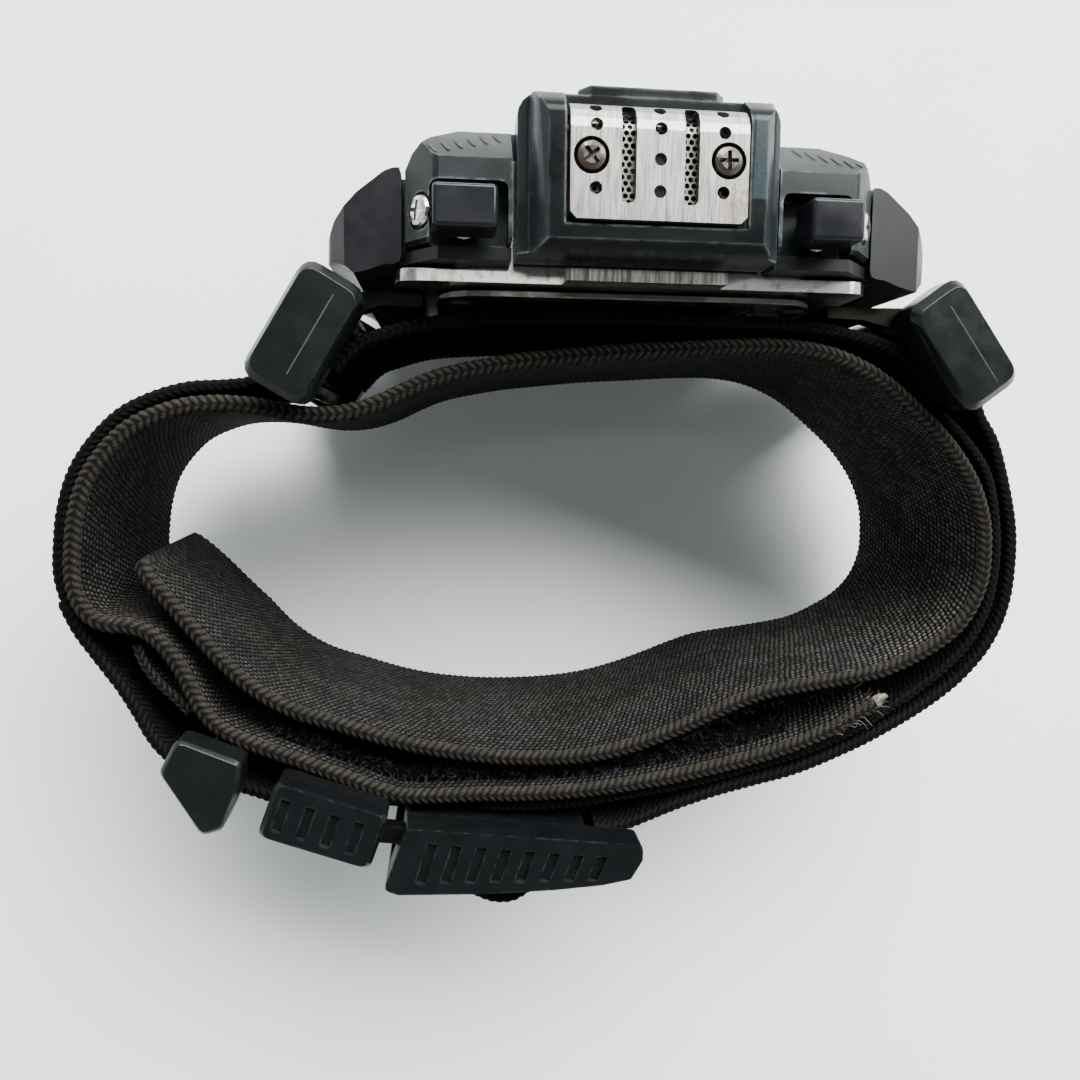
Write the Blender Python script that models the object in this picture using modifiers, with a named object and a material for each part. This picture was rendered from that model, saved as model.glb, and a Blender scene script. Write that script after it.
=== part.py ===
"""Wrist dive computer on a fabric band, lying on its 3 o'clock side.

World axes: +X along the band from 12 to 6 o'clock, +Y out of the glass, +Z up
from the floor and out of the 9 o'clock side with the pressure sensor.
Sizes are in millimetres and become metres where the geometry is made.
Head parts use (u, h, z): u along the band from the middle of the case, h above
the bottom face of the steel case and z above the floor.
"""

import math

import bmesh
import bpy
from mathutils import Euler, Matrix, Vector

MM = 0.001

# Where the head sits, and how it leans in the band.
HEAD_X = 3.9
HEAD_Y = 20.0
HEAD_LEAN = 1.6
MID_Z = 19.0
ORIGIN_SHIFT = (0.7373, 0.9574)

# Case.
FLANGE_HALF_LENGTH = 20.0
FLANGE_HALF_WIDTH = 16.0
FLANGE_CORNER_R = 2.0
FLANGE_TOP = 1.0
STEP_HALF_LENGTH = 6.6
STEP_NEAR_Z = 37.0
CASE_HALF_LENGTH = 16.8
CASE_HALF_WIDTH = 15.5
CASE_CORNER_R = 5.3
CASE_TOP = 9.6
BORE_R = 12.7
SEAT_R = 14.45
SEAT_H = 7.6
GLASS_R = 13.3
GLASS_THICKNESS = 2.0
GLASS_GAP = 0.3
FIT = 0.3
MODULE_R = 12.4
BACK_HALF_LENGTH = 16.6
BACK_HALF_WIDTH = 14.2
BACK_THICKNESS = 0.45
BACK_SCREW_U = 14.6
BACK_SCREW_V = 12.0
BACK_BORE_R = 15.1

# Bezel and sensor housing.
BEZEL_REACH = {-1: 19.0, 1: 19.6}
BEZEL_NEAR_Z = 38.0
BEZEL_FAR_Z = 1.0
BEZEL_BOTTOM = 2.6
BEZEL_TOP = 12.1
HOUSING_HALF_LENGTH = 10.35
HOUSING_TOP = 13.2
HOUSING_CORNER_R = 1.6
PLATE_HALF_LENGTH = 6.7
PLATE_Z = 42.0
PLATE_THICKNESS = 0.7
PLATE_BEND_R = 2.2
PLATE_BOTTOM = 3.5
PLATE_BEND_H = 10.0
PLATE_SCREW_U = 5.15
PLATE_SCREW_H = 8.0
SLOT_U = 2.37
SLOT_R = 0.55
GRILLE_HOLE_U = 4.8
GRILLE_HOLE_R = 0.48
MESH_Z = 40.6

# Buttons.
BUTTON_U = 14.35
BUTTON_H = 4.45
BUTTON_LENGTHS = {-1: 4.9, 1: 4.3}
BUTTON_WIDTH = 3.2
STEM_R = 0.9
SPRING_R = 1.4
NEAR_CAP_LOW = 37.3
NEAR_CAP_HIGH = 41.0
FAR_CAP_LOW = 0.5
FAR_CAP_HIGH = 1.4

# Band.
LEFT_PIVOT = (-21.7, 17.54)
RIGHT_PIVOT = (31.2, 19.1)
LEFT_RING = ((-23.1, 15.0), (-0.875, 0.485), (-0.485, -0.875))
RIGHT_RING = ((32.98, 16.8), (0.788, 0.616), (0.616, -0.788))
SPRING_BAR_R = 0.75
STRAP_NEAR_HIGH = 31.5
STRAP_NEAR_LOW = 29.0
LINER_WIDTH = 25.0
OUTER_WIDTH = 22.0
LINER_THICKNESS = 1.5
PLY_THICKNESS = 1.1

# Buckle: the far and near ends of its pieces along the band's width.
BUCKLE_WIDTH = 33.0
PAD_THICKNESS = 3.6
KEEPER_FAR_Z = 0.6
KEEPER_NEAR_Z = 32.4
KEEPER_CHEEK = 3.0
KEEPER_BAR_R = 0.65
RIB_DEPTH = 0.45

# Buckle frames: origin, direction along the band, direction towards the wrist.
MALE = ((-21.2, -26.9), (0.95, -0.3122), (0.3122, 0.95))
FEMALE = ((-2.0, -31.0), (0.9963, -0.0854), (0.0854, 0.9963))

FINISHES = {
    "steel": ((0.60, 0.585, 0.55), 0.28, 1.0),
    "brushed_steel": ((0.66, 0.645, 0.61), 0.36, 1.0),
    "bezel_paint": ((0.075, 0.092, 0.092), 0.42, 0.45),
    "resin": ((0.022, 0.022, 0.026), 0.5, 0.0),
    "buckle_plastic": ((0.028, 0.030, 0.033), 0.42, 0.0),
    "button_plastic": ((0.020, 0.020, 0.024), 0.38, 0.0),
    "outer_fabric": ((0.040, 0.038, 0.035), 0.95, 0.0),
    "liner_fabric": ((0.115, 0.100, 0.078), 0.95, 0.0),
    "hook_tape": ((0.014, 0.015, 0.018), 0.95, 0.0),
    "glass": ((0.80, 0.85, 0.86), 0.05, 0.0),
    "display": ((0.42, 0.45, 0.37), 0.3, 0.0),
    "mask": ((0.03, 0.03, 0.034), 0.45, 0.0),
    "frame_plastic": ((0.05, 0.05, 0.05), 0.5, 0.0),
    "board": ((0.02, 0.13, 0.06), 0.5, 0.0),
    "cell": ((0.62, 0.62, 0.62), 0.25, 1.0),
    "rubber": ((0.015, 0.015, 0.015), 0.8, 0.0),
    "gasket": ((0.70, 0.70, 0.68), 0.5, 0.0),
    "sensor_steel": ((0.40, 0.40, 0.39), 0.4, 1.0),
}


def clear_scene():
    for obj in list(bpy.data.objects):
        bpy.data.objects.remove(obj)


def make_collection(name):
    collection = bpy.data.collections.new(name)
    bpy.context.scene.collection.children.link(collection)
    return collection


def finish(name):
    """The shared Principled material of one finish."""
    material = bpy.data.materials.get(name)
    if material:
        return material
    colour, roughness, metallic = FINISHES[name]
    material = bpy.data.materials.new(name)
    material.use_nodes = True
    shader = material.node_tree.nodes["Principled BSDF"]
    shader.inputs["Base Color"].default_value = (*colour, 1.0)
    shader.inputs["Roughness"].default_value = roughness
    shader.inputs["Metallic"].default_value = metallic
    return material


def link(obj, parent, collection):
    collection.objects.link(obj)
    obj.parent = parent
    return obj


def part(name, mesh, finish_name, parent, smooth=False):
    """A visible piece made from a mesh."""
    mesh.materials.clear()
    mesh.materials.append(finish(finish_name))
    for face in mesh.polygons:
        face.use_smooth = smooth
    obj = bpy.data.objects.new(name, mesh)
    return link(obj, parent, PARTS)


def cut(target, mesh, operation="DIFFERENCE"):
    """Cuts, joins or intersects a piece with another shape."""
    helper = bpy.data.objects.new(target.name + "_cutter", mesh)
    link(helper, target.parent, CUTTERS)
    helper.matrix_basis = target.matrix_basis
    helper.hide_render = True
    helper.display_type = "WIRE"
    modifier = target.modifiers.new("Boolean", "BOOLEAN")
    modifier.solver = "EXACT"
    modifier.operation = operation
    modifier.object = helper
    return helper


def mesh_from(bm, matrix=None):
    if matrix is not None:
        bmesh.ops.transform(bm, matrix=matrix, verts=bm.verts)
    bmesh.ops.recalc_face_normals(bm, faces=bm.faces)
    mesh = bpy.data.meshes.new("shape")
    bm.to_mesh(mesh)
    bm.free()
    return mesh


def evaluated_mesh(obj):
    """The mesh of an object with its modifiers or curve settings applied."""
    graph = bpy.context.evaluated_depsgraph_get()
    return bpy.data.meshes.new_from_object(obj.evaluated_get(graph))


def baked(data, modify=None):
    """A welded bmesh made from a curve or a mesh with modifiers."""
    helper = bpy.data.objects.new("helper", data)
    bpy.context.scene.collection.objects.link(helper)
    if modify:
        modify(helper)
    mesh = evaluated_mesh(helper)
    bpy.data.objects.remove(helper)
    bm = bmesh.new()
    bm.from_mesh(mesh)
    bmesh.ops.remove_doubles(bm, verts=bm.verts, dist=1e-6)
    return bm


AXIS_MATRIX = {
    "Z": Matrix(((1, 0, 0, 0), (0, 1, 0, 0), (0, 0, 1, 0), (0, 0, 0, 1))),
    "Y": Matrix(((1, 0, 0, 0), (0, 0, 1, 0), (0, 1, 0, 0), (0, 0, 0, 1))),
    "X": Matrix(((0, 0, 1, 0), (0, 1, 0, 0), (1, 0, 0, 0), (0, 0, 0, 1))),
}


def prism(outline, low, high, axis="Z"):
    """A flat outline extruded along an axis.

    The outline's points are (x, y) for Z, (x, z) for Y and (z, y) for X.
    """
    curve = bpy.data.curves.new("outline", "CURVE")
    curve.dimensions = "2D"
    curve.fill_mode = "BOTH"
    curve.extrude = (high - low) / 2 * MM
    spline = curve.splines.new("POLY")
    spline.points.add(len(outline) - 1)
    for point, (p, q) in zip(spline.points, outline):
        point.co = (p * MM, q * MM, 0, 1)
    spline.use_cyclic_u = True
    bm = baked(curve)
    centre = Matrix.Translation((0, 0, (high + low) / 2 * MM))
    return mesh_from(bm, AXIS_MATRIX[axis] @ centre)


def box(low, high):
    bm = bmesh.new()
    size = [(b - a) * MM for a, b in zip(low, high)]
    middle = [(a + b) / 2 * MM for a, b in zip(low, high)]
    matrix = Matrix.Translation(middle) @ Matrix.Diagonal((*size, 1))
    bmesh.ops.create_cube(bm, size=1, matrix=matrix)
    return mesh_from(bm)


def rod(r, start, end, segments=24, r_end=None):
    """A round bar or cone between two points."""
    start = Vector(start) * MM
    end = Vector(end) * MM
    along = end - start
    turn = along.to_track_quat("Z", "Y").to_matrix().to_4x4()
    bm = bmesh.new()
    bmesh.ops.create_cone(
        bm,
        cap_ends=True,
        segments=segments,
        radius1=r * MM,
        radius2=(r if r_end is None else r_end) * MM,
        depth=along.length,
        matrix=Matrix.Translation((start + end) / 2) @ turn,
    )
    return mesh_from(bm)


def joined(first, *others):
    """One mesh from several overlapping shapes."""
    helpers = []

    def add_unions(base):
        for mesh in others:
            helper = bpy.data.objects.new("helper", mesh)
            bpy.context.scene.collection.objects.link(helper)
            helpers.append(helper)
            modifier = base.modifiers.new("Union", "BOOLEAN")
            modifier.solver = "EXACT"
            modifier.operation = "UNION"
            modifier.object = helper

    bm = baked(first, add_unions)
    for helper in helpers:
        bpy.data.objects.remove(helper)
    return mesh_from(bm)


def without(first, *others):
    """A mesh with several shapes cut from it."""
    helpers = []

    def add_cuts(base):
        for mesh in others:
            helper = bpy.data.objects.new("helper", mesh)
            bpy.context.scene.collection.objects.link(helper)
            helpers.append(helper)
            modifier = base.modifiers.new("Cut", "BOOLEAN")
            modifier.solver = "EXACT"
            modifier.operation = "DIFFERENCE"
            modifier.object = helper

    bm = baked(first, add_cuts)
    for helper in helpers:
        bpy.data.objects.remove(helper)
    return mesh_from(bm)


def turned(profile, steps, closed=False):
    """A profile of (radius, height) turned about the local Z axis."""
    bm = bmesh.new()
    verts = [bm.verts.new((r * MM, 0, z * MM)) for r, z in profile]
    pairs = list(zip(verts, verts[1:]))
    if closed:
        pairs.append((verts[-1], verts[0]))
    for pair in pairs:
        bm.edges.new(pair)
    mesh = bpy.data.meshes.new("profile")
    bm.to_mesh(mesh)
    bm.free()

    def add_screw(helper):
        modifier = helper.modifiers.new("Screw", "SCREW")
        modifier.steps = steps
        modifier.render_steps = steps
        modifier.use_merge_vertices = True
        modifier.merge_threshold = 0.00001

    return mesh_from(baked(mesh, add_screw))


def rounded(points, radius, steps=3):
    """An outline with its corners rounded."""
    result = []
    count = len(points)
    for i, point in enumerate(points):
        before = Vector(points[i - 1]) - Vector(point)
        after = Vector(points[(i + 1) % count]) - Vector(point)
        half = before.angle(after) / 2
        reach = min(radius / math.tan(half), 0.49 * before.length, 0.49 * after.length)
        start = Vector(point) + before.normalized() * reach
        end = Vector(point) + after.normalized() * reach
        for step in range(steps + 1):
            t = step / steps
            near = start.lerp(Vector(point), t)
            far = Vector(point).lerp(end, t)
            result.append(tuple(near.lerp(far, t)))
    return result


def rectangle(half_u, half_v, middle=(0.0, 0.0)):
    u, v = middle
    return [(u - half_u, v - half_v), (u + half_u, v - half_v),
            (u + half_u, v + half_v), (u - half_u, v + half_v)]


def softened(obj, width, segments=1, angle=40):
    """A bevel on the sharp edges of a piece."""
    modifier = obj.modifiers.new("Bevel", "BEVEL")
    modifier.width = width * MM
    modifier.segments = segments
    modifier.limit_method = "ANGLE"
    modifier.angle_limit = math.radians(angle)
    return modifier


def head_turned(name, profile, finish_name, steps=48, closed=False, middle=(0.0, MID_Z)):
    """A turned head part whose axis points out of the glass."""
    obj = part(name, turned(profile, steps, closed), finish_name, HEAD, True)
    obj.location = (middle[0] * MM, 0, middle[1] * MM)
    obj.rotation_euler = (-math.pi / 2, 0, 0)
    return obj


def head_rod(r, u, z, low, high, segments=32):
    """A rod along h through a point of the head."""
    return rod(r, (u, low, z), (u, high, z), segments)


# ---------------------------------------------------------------- case


def add_case_middle():
    flange = prism(
        rounded(
            rectangle(FLANGE_HALF_LENGTH, FLANGE_HALF_WIDTH, (0, MID_Z)), FLANGE_CORNER_R, 3
        ),
        0, FLANGE_TOP, "Y",
    )
    step_half_width = STEP_NEAR_Z - MID_Z
    step = prism(
        rectangle(STEP_HALF_LENGTH, step_half_width, (0.3, MID_Z)), 0, FLANGE_TOP - 0.05, "Y"
    )
    body = prism(
        rounded(rectangle(CASE_HALF_LENGTH, CASE_HALF_WIDTH, (0, MID_Z)), CASE_CORNER_R, 5),
        FLANGE_TOP - 0.6, CASE_TOP, "Y",
    )
    case = part("case_middle", joined(flange, step, body), "steel", HEAD)
    cut(case, head_rod(BORE_R, 0, MID_Z, -1, 12, 48))
    cut(case, head_rod(SEAT_R, 0, MID_Z, SEAT_H, 12, 48))
    cut(case, head_rod(BACK_BORE_R, 0, MID_Z, -1, 0.9, 48))
    for u in (-BUTTON_U, BUTTON_U):
        cut(case, rod(STEM_R + 0.35, (u, BUTTON_H, 27.5), (u, BUTTON_H, 36), 16))
        cut(case, rod(STEM_R + 0.35, (u, BUTTON_H, 10.5), (u, BUTTON_H, 2), 16))
    for u, z in back_screw_places():
        cut(case, head_rod(0.75, u, z, -1, 1.6, 12))


def back_screw_places():
    return [
        (u, MID_Z + v) for u in (-BACK_SCREW_U, BACK_SCREW_U) for v in (-BACK_SCREW_V, BACK_SCREW_V)
    ]


def add_case_back():
    outer_h = -FIT - BACK_THICKNESS
    plate = prism(
        rounded(rectangle(BACK_HALF_LENGTH, BACK_HALF_WIDTH, (0, MID_Z)), 4.5, 4),
        outer_h, -FIT, "Y",
    )
    back = part("case_back", plate, "steel", HEAD)
    dome = rod(12.4, (0, outer_h + 0.05, MID_Z), (0, outer_h - 0.35, MID_Z), 48, 11.2)
    cut(back, dome, "UNION")
    for u, z in back_screw_places():
        cut(back, head_rod(0.8, u, z, -2, 1, 12))
    head_turned(
        "case_back_gasket",
        [(14.6, 0.65), (14.6, 0.05), (13.5, 0.05), (13.5, 0.65)],
        "rubber", 40, True,
    )


def cross_screw(name, head_r, head_height, shank_r, shank_length, finish_name="steel"):
    """A cross-head screw along local Z, its head standing above z = 0."""
    profile = [
        (0, head_height),
        (head_r * 0.55, head_height),
        (head_r * 0.9, head_height * 0.78),
        (head_r, head_height * 0.4),
        (head_r, 0),
        (shank_r, 0),
        (shank_r, -shank_length),
        (0, -shank_length),
    ]
    screw = part(name, turned(profile, 20), finish_name, HEAD)
    arm = head_r * 0.62
    slot = head_r * 0.13
    depth = head_height * 0.6
    low = head_height - depth
    high = head_height + 1
    cross = joined(
        box((-arm, -slot, low), (arm, slot, high)),
        box((-slot, -arm, low), (slot, arm, high)),
    )
    cut(screw, cross)
    return screw


def place(obj, location, direction, spin=0.0):
    """Puts a piece's local Z along a direction."""
    turn = Vector(direction).to_track_quat("Z", "Y").to_matrix().to_4x4()
    matrix = Matrix.Translation(Vector(location) * MM) @ turn
    matrix = matrix @ Matrix.Rotation(math.radians(spin), 4, "Z")
    obj.matrix_basis = matrix
    for modifier in obj.modifiers:
        if modifier.type == "BOOLEAN":
            modifier.object.matrix_basis = matrix


def add_back_screws():
    for index, (u, z) in enumerate(back_screw_places(), 1):
        screw = cross_screw(f"case_back_screw_{index}", 1.15, 0.4, 0.55, 2.3)
        place(screw, (u, -0.95, z), (0, -1, 0), 20 * index)


def add_glass():
    seat = SEAT_H + GLASS_GAP
    top = seat + GLASS_THICKNESS
    head_turned(
        "glass",
        [(0, top), (GLASS_R - 0.35, top), (GLASS_R, top - 0.35),
         (GLASS_R, seat), (0, seat)],
        "glass",
    )
    head_turned(
        "glass_gasket",
        [(14.15, 9.7), (14.15, 7.9), (13.6, 7.9), (13.6, 9.7)],
        "gasket", 48, True,
    )


def add_dial():
    mask = part(
        "dial_mask", head_rod(MODULE_R, 0, MID_Z, 6.9, 7.4, 48), "mask", HEAD
    )
    cut(mask, box((-6.2, 6, MID_Z - 8), (6.2, 8, MID_Z + 8)))
    part(
        "lcd_panel",
        box((-6.4, 5.4, MID_Z - 8.2), (6.4, 6.6, MID_Z + 8.2)),
        "display", HEAD,
    )
    head_turned(
        "module_frame",
        [(MODULE_R - 0.05, 6.6), (MODULE_R - 0.05, 0.5), (10.6, 0.5), (10.6, 6.6)],
        "frame_plastic", 40, True,
    )
    head_turned("circuit_board", [(0, 5.0), (10.3, 5.0), (10.3, 4.2), (0, 4.2)], "board", 32)
    head_turned(
        "battery",
        [(0, 3.5), (9.0, 3.5), (9.0, 3.2), (10.0, 3.0), (10.0, 0.3), (0, 0.3)],
        "cell", 32,
    )


# ---------------------------------------------------------------- bezel


def corner_outline(reach, far, near, inset, depth):
    """Plan outline with flat corner facets; reach gives its length on either side."""
    left, right = -reach[-1], reach[1]
    return [
        (left + inset, far), (right - inset, far), (right, far + depth),
        (right, near - depth), (right - inset, near), (left + inset, near),
        (left, near - depth), (left, far + depth),
    ]


def case_clearance(low, high):
    """The space that the case body takes up inside the bezel and the guard."""
    outline = rectangle(CASE_HALF_LENGTH + FIT, CASE_HALF_WIDTH + FIT, (0, MID_Z))
    return prism(rounded(outline, CASE_CORNER_R + 0.2, 5), low, high, "Y")


def half_arch(side):
    """The bezel's shoulder from its foot towards the housing."""
    reach = BEZEL_REACH[side]
    return [(side * u, h) for u, h in (
        (reach + 0.4, 2.0), (reach + 0.4, 8.0), (reach, 8.4), (reach - 0.6, 9.5),
        (17.0, 10.7), (14.8, 11.5), (10.3, BEZEL_TOP),
    )]


def add_bezel():
    plan = prism(
        corner_outline(BEZEL_REACH, BEZEL_FAR_Z, BEZEL_NEAR_Z, 2.4, 2.9),
        BEZEL_BOTTOM, BEZEL_TOP + 0.5, "Y",
    )
    bezel = part("bezel", plan, "bezel_paint", HEAD)
    softened(bezel, 0.3)
    arch = half_arch(1) + list(reversed(half_arch(-1)))
    cut(bezel, prism(arch, -2, 42, "Z"), "INTERSECT")
    slope = [(39, 2), (39, 7.6), (37.9, 8.9), (35.4, 11.5), (33.6, BEZEL_TOP),
             (4.4, BEZEL_TOP), (2.8, 11.4), (0.9, 9.2), (-1, 7.5), (-1, 2)]
    cut(bezel, prism(slope, -21, 21, "X"), "INTERSECT")
    pad = prism(rounded(rectangle(9.2, 3.4, (0, 6.4)), 1.0), 0.0, 1.6, "Z")
    cut(bezel, pad, "UNION")
    cut(bezel, case_clearance(0, 10.2))
    cut(bezel, rod(13.0, (0, 9, MID_Z), (0, 12.5, MID_Z), 48, 14.6))
    slot = HOUSING_HALF_LENGTH + FIT
    cut(bezel, box((-slot, 0, 33.9), (slot, 14, 44)))
    for side in (-1, 1):
        add_button_recesses(bezel, side)
        for near in (True, False):
            location, direction = bezel_screw_place(side, near)
            axis = Vector(direction)
            base = Vector(location)
            cut(bezel, rod(1.45, base - axis * 0.35, base + axis * 3, 20))
            cut(bezel, rod(0.8, base - axis * 2.4, base + axis, 12))


def add_button_recesses(bezel, side):
    inner = 10.95
    outer = BUTTON_U + BUTTON_LENGTHS[side] / 2 + 0.25
    low, high = sorted((side * inner, side * outer))
    near = prism(
        rounded([(low, 0), (high, 0), (high, 7.1), (low, 7.1)], 0.7), 35.6, 42, "Z"
    )
    cut(bezel, near)
    far = prism(
        rounded([(low, 0), (high, 0), (high, 6.8), (low, 6.8)], 0.7), -2, 2.5, "Z"
    )
    cut(bezel, far)
    u = side * BUTTON_U
    cut(bezel, rod(STEM_R + 0.25, (u, BUTTON_H, 33.5), (u, BUTTON_H, 37), 16))
    cut(bezel, rod(STEM_R + 0.25, (u, BUTTON_H, 4.6), (u, BUTTON_H, 1), 16))


def bezel_screw_place(side, near):
    """The middle of a corner facet and its outward direction."""
    z = 36.55 if near else 2.45
    direction = Vector((side * 2.9, 0, 2.4 if near else -2.4)).normalized()
    return (side * (BEZEL_REACH[side] - 1.2), 5.0, z), direction


def add_bezel_screws():
    index = 0
    for near in (True, False):
        for side in (-1, 1):
            index += 1
            location, direction = bezel_screw_place(side, near)
            screw = cross_screw(f"bezel_screw_{index}", 1.22, 0.55, 0.55, 1.7)
            place(screw, Vector(location) - direction * 0.15, direction, 12 * side)


# ---------------------------------------------------------------- sensor


def bend(radius, steps=5):
    """The plate's rounded top edge as (z, h) points, from the flat upwards."""
    centre_z = PLATE_Z - PLATE_BEND_R
    return [
        (centre_z + radius * math.cos(math.pi / 2 * k / steps),
         PLATE_BEND_H + radius * math.sin(math.pi / 2 * k / steps))
        for k in range(steps + 1)
    ]


def add_sensor_housing():
    half_plan = [
        (HOUSING_HALF_LENGTH, 35.1), (HOUSING_HALF_LENGTH, 38.5), (9.75, 39.0), (9.45, 39.1),
        (9.2, 39.9),
        (8.95, 40.9), (8.6, 41.25), (8.25, 41.6),
    ]
    plan = half_plan + [(-u, z) for u, z in reversed(half_plan)]
    housing = part("sensor_housing", prism(plan, 1.5, 14.5, "Y"), "bezel_paint", HEAD)
    side = [(34, 1.5), (40.9, 1.5), (41.7, 2.2), (41.7, HOUSING_TOP - 2.3),
            (41.0, HOUSING_TOP - 1.0), (39.6, HOUSING_TOP), (34, HOUSING_TOP)]
    cut(housing, prism(side, -12, 12, "X"), "INTERSECT")
    front = rectangle(HOUSING_HALF_LENGTH + 0.05, HOUSING_TOP / 2, (0, HOUSING_TOP / 2 + 0.02))
    cut(housing, prism(rounded(front, HOUSING_CORNER_R, 4), 30, 44, "Z"), "INTERSECT")
    bar = prism(
        [(-5.7, 35.5), (5.7, 35.5), (5.7, 38.3), (4.9, 39.3), (-4.9, 39.3), (-5.7, 38.3)],
        HOUSING_TOP - 0.4, HOUSING_TOP + 0.75, "Y",
    )
    cut(housing, bar, "UNION")
    pocket = [(44, 3.25), (41.0, 3.25)] + bend(PLATE_BEND_R - PLATE_THICKNESS - 0.3)
    pocket += [(39.4, PLATE_BEND_H + 1.2), (39.4, 16), (44, 16)]
    cut(housing, prism(pocket, -PLATE_HALF_LENGTH - 0.25, PLATE_HALF_LENGTH + 0.25, "X"))
    bosses = [
        rod(1.5, (u, PLATE_SCREW_H, 39), (u, PLATE_SCREW_H, 43), 20)
        for u in (-PLATE_SCREW_U, PLATE_SCREW_U)
    ]
    recess = without(box((-6.3, 4.5, 40.3), (6.3, 10.3, 42)), *bosses)
    cut(housing, recess)
    cut(housing, box((-3.3, 4.8, 36.3), (3.3, 10.1, 41)))
    for u in (-PLATE_SCREW_U, PLATE_SCREW_U):
        cut(housing, rod(0.75, (u, PLATE_SCREW_H, 37), (u, PLATE_SCREW_H, 43), 12))


def add_grille_plate():
    outline = [(PLATE_Z, PLATE_BOTTOM)] + bend(PLATE_BEND_R)
    outline += list(reversed(bend(PLATE_BEND_R - PLATE_THICKNESS)))
    outline += [(PLATE_Z - PLATE_THICKNESS, PLATE_BOTTOM)]
    plate = part(
        "sensor_grille_plate",
        prism(outline, -PLATE_HALF_LENGTH, PLATE_HALF_LENGTH, "X"),
        "brushed_steel", HEAD,
    )
    for side in (-1, 1):
        edge = side * PLATE_HALF_LENGTH
        corner = [(edge - side * 0.6, PLATE_BOTTOM - 0.1), (edge + side * 0.1, PLATE_BOTTOM + 0.6),
                  (edge + side, PLATE_BOTTOM - 1)]
        cut(plate, prism(corner, 40, 44, "Z"))
    for u in (-SLOT_U, SLOT_U):
        slot = rounded(rectangle(SLOT_R, 3.6, (u, 8.3)), SLOT_R, 4)
        cut(plate, prism(slot, 38.5, 44, "Z"))
    rows_by_column = (
        (-GRILLE_HOLE_U, (5.7, 10.2)), (0, (5.6, 7.9, 10.1)), (GRILLE_HOLE_U, (5.7, 10.0))
    )
    for u, rows in rows_by_column:
        for h in rows:
            cut(plate, rod(GRILLE_HOLE_R, (u, h, 40), (u, h, 44), 12))
        top = Vector((u, PLATE_BEND_H + 1.35, PLATE_Z - 0.85))
        aim = Vector((0, 0.75, 0.66))
        cut(plate, rod(GRILLE_HOLE_R, top - aim * 1.5, top + aim * 1.5, 12))
    for u in (-PLATE_SCREW_U, PLATE_SCREW_U):
        cut(plate, rod(1.35, (u, PLATE_SCREW_H, 40), (u, PLATE_SCREW_H, 44), 24))


def add_sensor():
    notches = [
        rod(1.8, (u, PLATE_SCREW_H, 39), (u, PLATE_SCREW_H, 43), 20)
        for u in (-PLATE_SCREW_U, PLATE_SCREW_U)
    ]
    sheet = without(box((-6.0, 4.8, MESH_Z), (6.0, 10.0, MESH_Z + 0.25)), *notches)
    part("sensor_mesh", sheet, "sensor_steel", HEAD)
    can = turned(
        [(0, 2.6), (1.9, 2.6), (2.3, 2.3), (2.3, 0.6), (2.45, 0.6), (2.45, 0), (0, 0)], 24
    )
    sensor = part("pressure_sensor", can, "sensor_steel", HEAD)
    sensor.location = (0, 7.45 * MM, 36.7 * MM)
    for name, u, spin in (("sensor_screw_left", -PLATE_SCREW_U, 40),
                          ("sensor_screw_right", PLATE_SCREW_U, 2)):
        screw = cross_screw(name, 1.15, 1.0, 0.55, 3.2)
        place(screw, (u, PLATE_SCREW_H, 41.2), (0, 0, 1), spin)


# ---------------------------------------------------------------- guard


# The lug covers, measured from their joint with the bezel.
LUG_CORNER_R = 1.3
LUG_PROFILE = [
    (0, 1.3), (1.4, 1.25), (2.8, 0.8), (4.7, 0.4), (6.2, 0.9),
    (6.1, 3.5), (5.5, 4.9), (3.6, 6.9), (1.4, 8.5), (0, 9.0),
]
LUG_PLAN = [
    (-1.2, 2.9), (4.6, 3.9), (5.9, 5.4), (6.6, 7.5),
    (6.6, 30.5), (5.9, 32.6), (4.6, 34.1), (-1.2, 35.1),
]


def add_case_guard():
    reach = {side: BEZEL_REACH[side] + 2 * FIT for side in (-1, 1)}
    slot = HOUSING_HALF_LENGTH + FIT
    strips = without(
        prism(corner_outline(reach, 1.3, 37.2, 3.2, 3.4), 1.3, 2.3, "Y"),
        case_clearance(0, 4),
        box((-slot, 0, 33.9), (slot, 4, 44)),
    )
    lugs = []
    for side in (-1, 1):
        start = BEZEL_REACH[side] + FIT
        profile = [(side * (start + u), h) for u, h in LUG_PROFILE]
        block = prism(rounded(profile, LUG_CORNER_R, 2), 2.9, 35.1, "Z")
        plan = [(start + u, z) for u, z in LUG_PLAN]
        trim = prism([(side * u, z) for u, z in plan], -1, 10, "Y")
        lugs.append(intersected(block, trim))
    guard = part("case_guard", joined(strips, *lugs), "resin", HEAD)
    for pivot in (LEFT_PIVOT, RIGHT_PIVOT):
        u, h = head_point(pivot)
        cut(guard, rod(3.4, (u, h, 0), (u, h, 40), 32))


def intersected(first, second):
    helper = bpy.data.objects.new("helper", second)
    bpy.context.scene.collection.objects.link(helper)

    def add_intersection(base):
        modifier = base.modifiers.new("Intersect", "BOOLEAN")
        modifier.solver = "EXACT"
        modifier.operation = "INTERSECT"
        modifier.object = helper

    bm = baked(first, add_intersection)
    bpy.data.objects.remove(helper)
    return mesh_from(bm)


def head_point(point):
    """World (x, y) as the head's (u, h)."""
    lean = math.radians(-HEAD_LEAN)
    x = point[0] - HEAD_X
    y = point[1] - HEAD_Y
    return (x * math.cos(lean) - y * math.sin(lean),
            x * math.sin(lean) + y * math.cos(lean))


# ---------------------------------------------------------------- buttons


def add_buttons():
    index = 0
    for near in (True, False):
        for side in (-1, 1):
            index += 1
            add_button(index, side, near)


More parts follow.
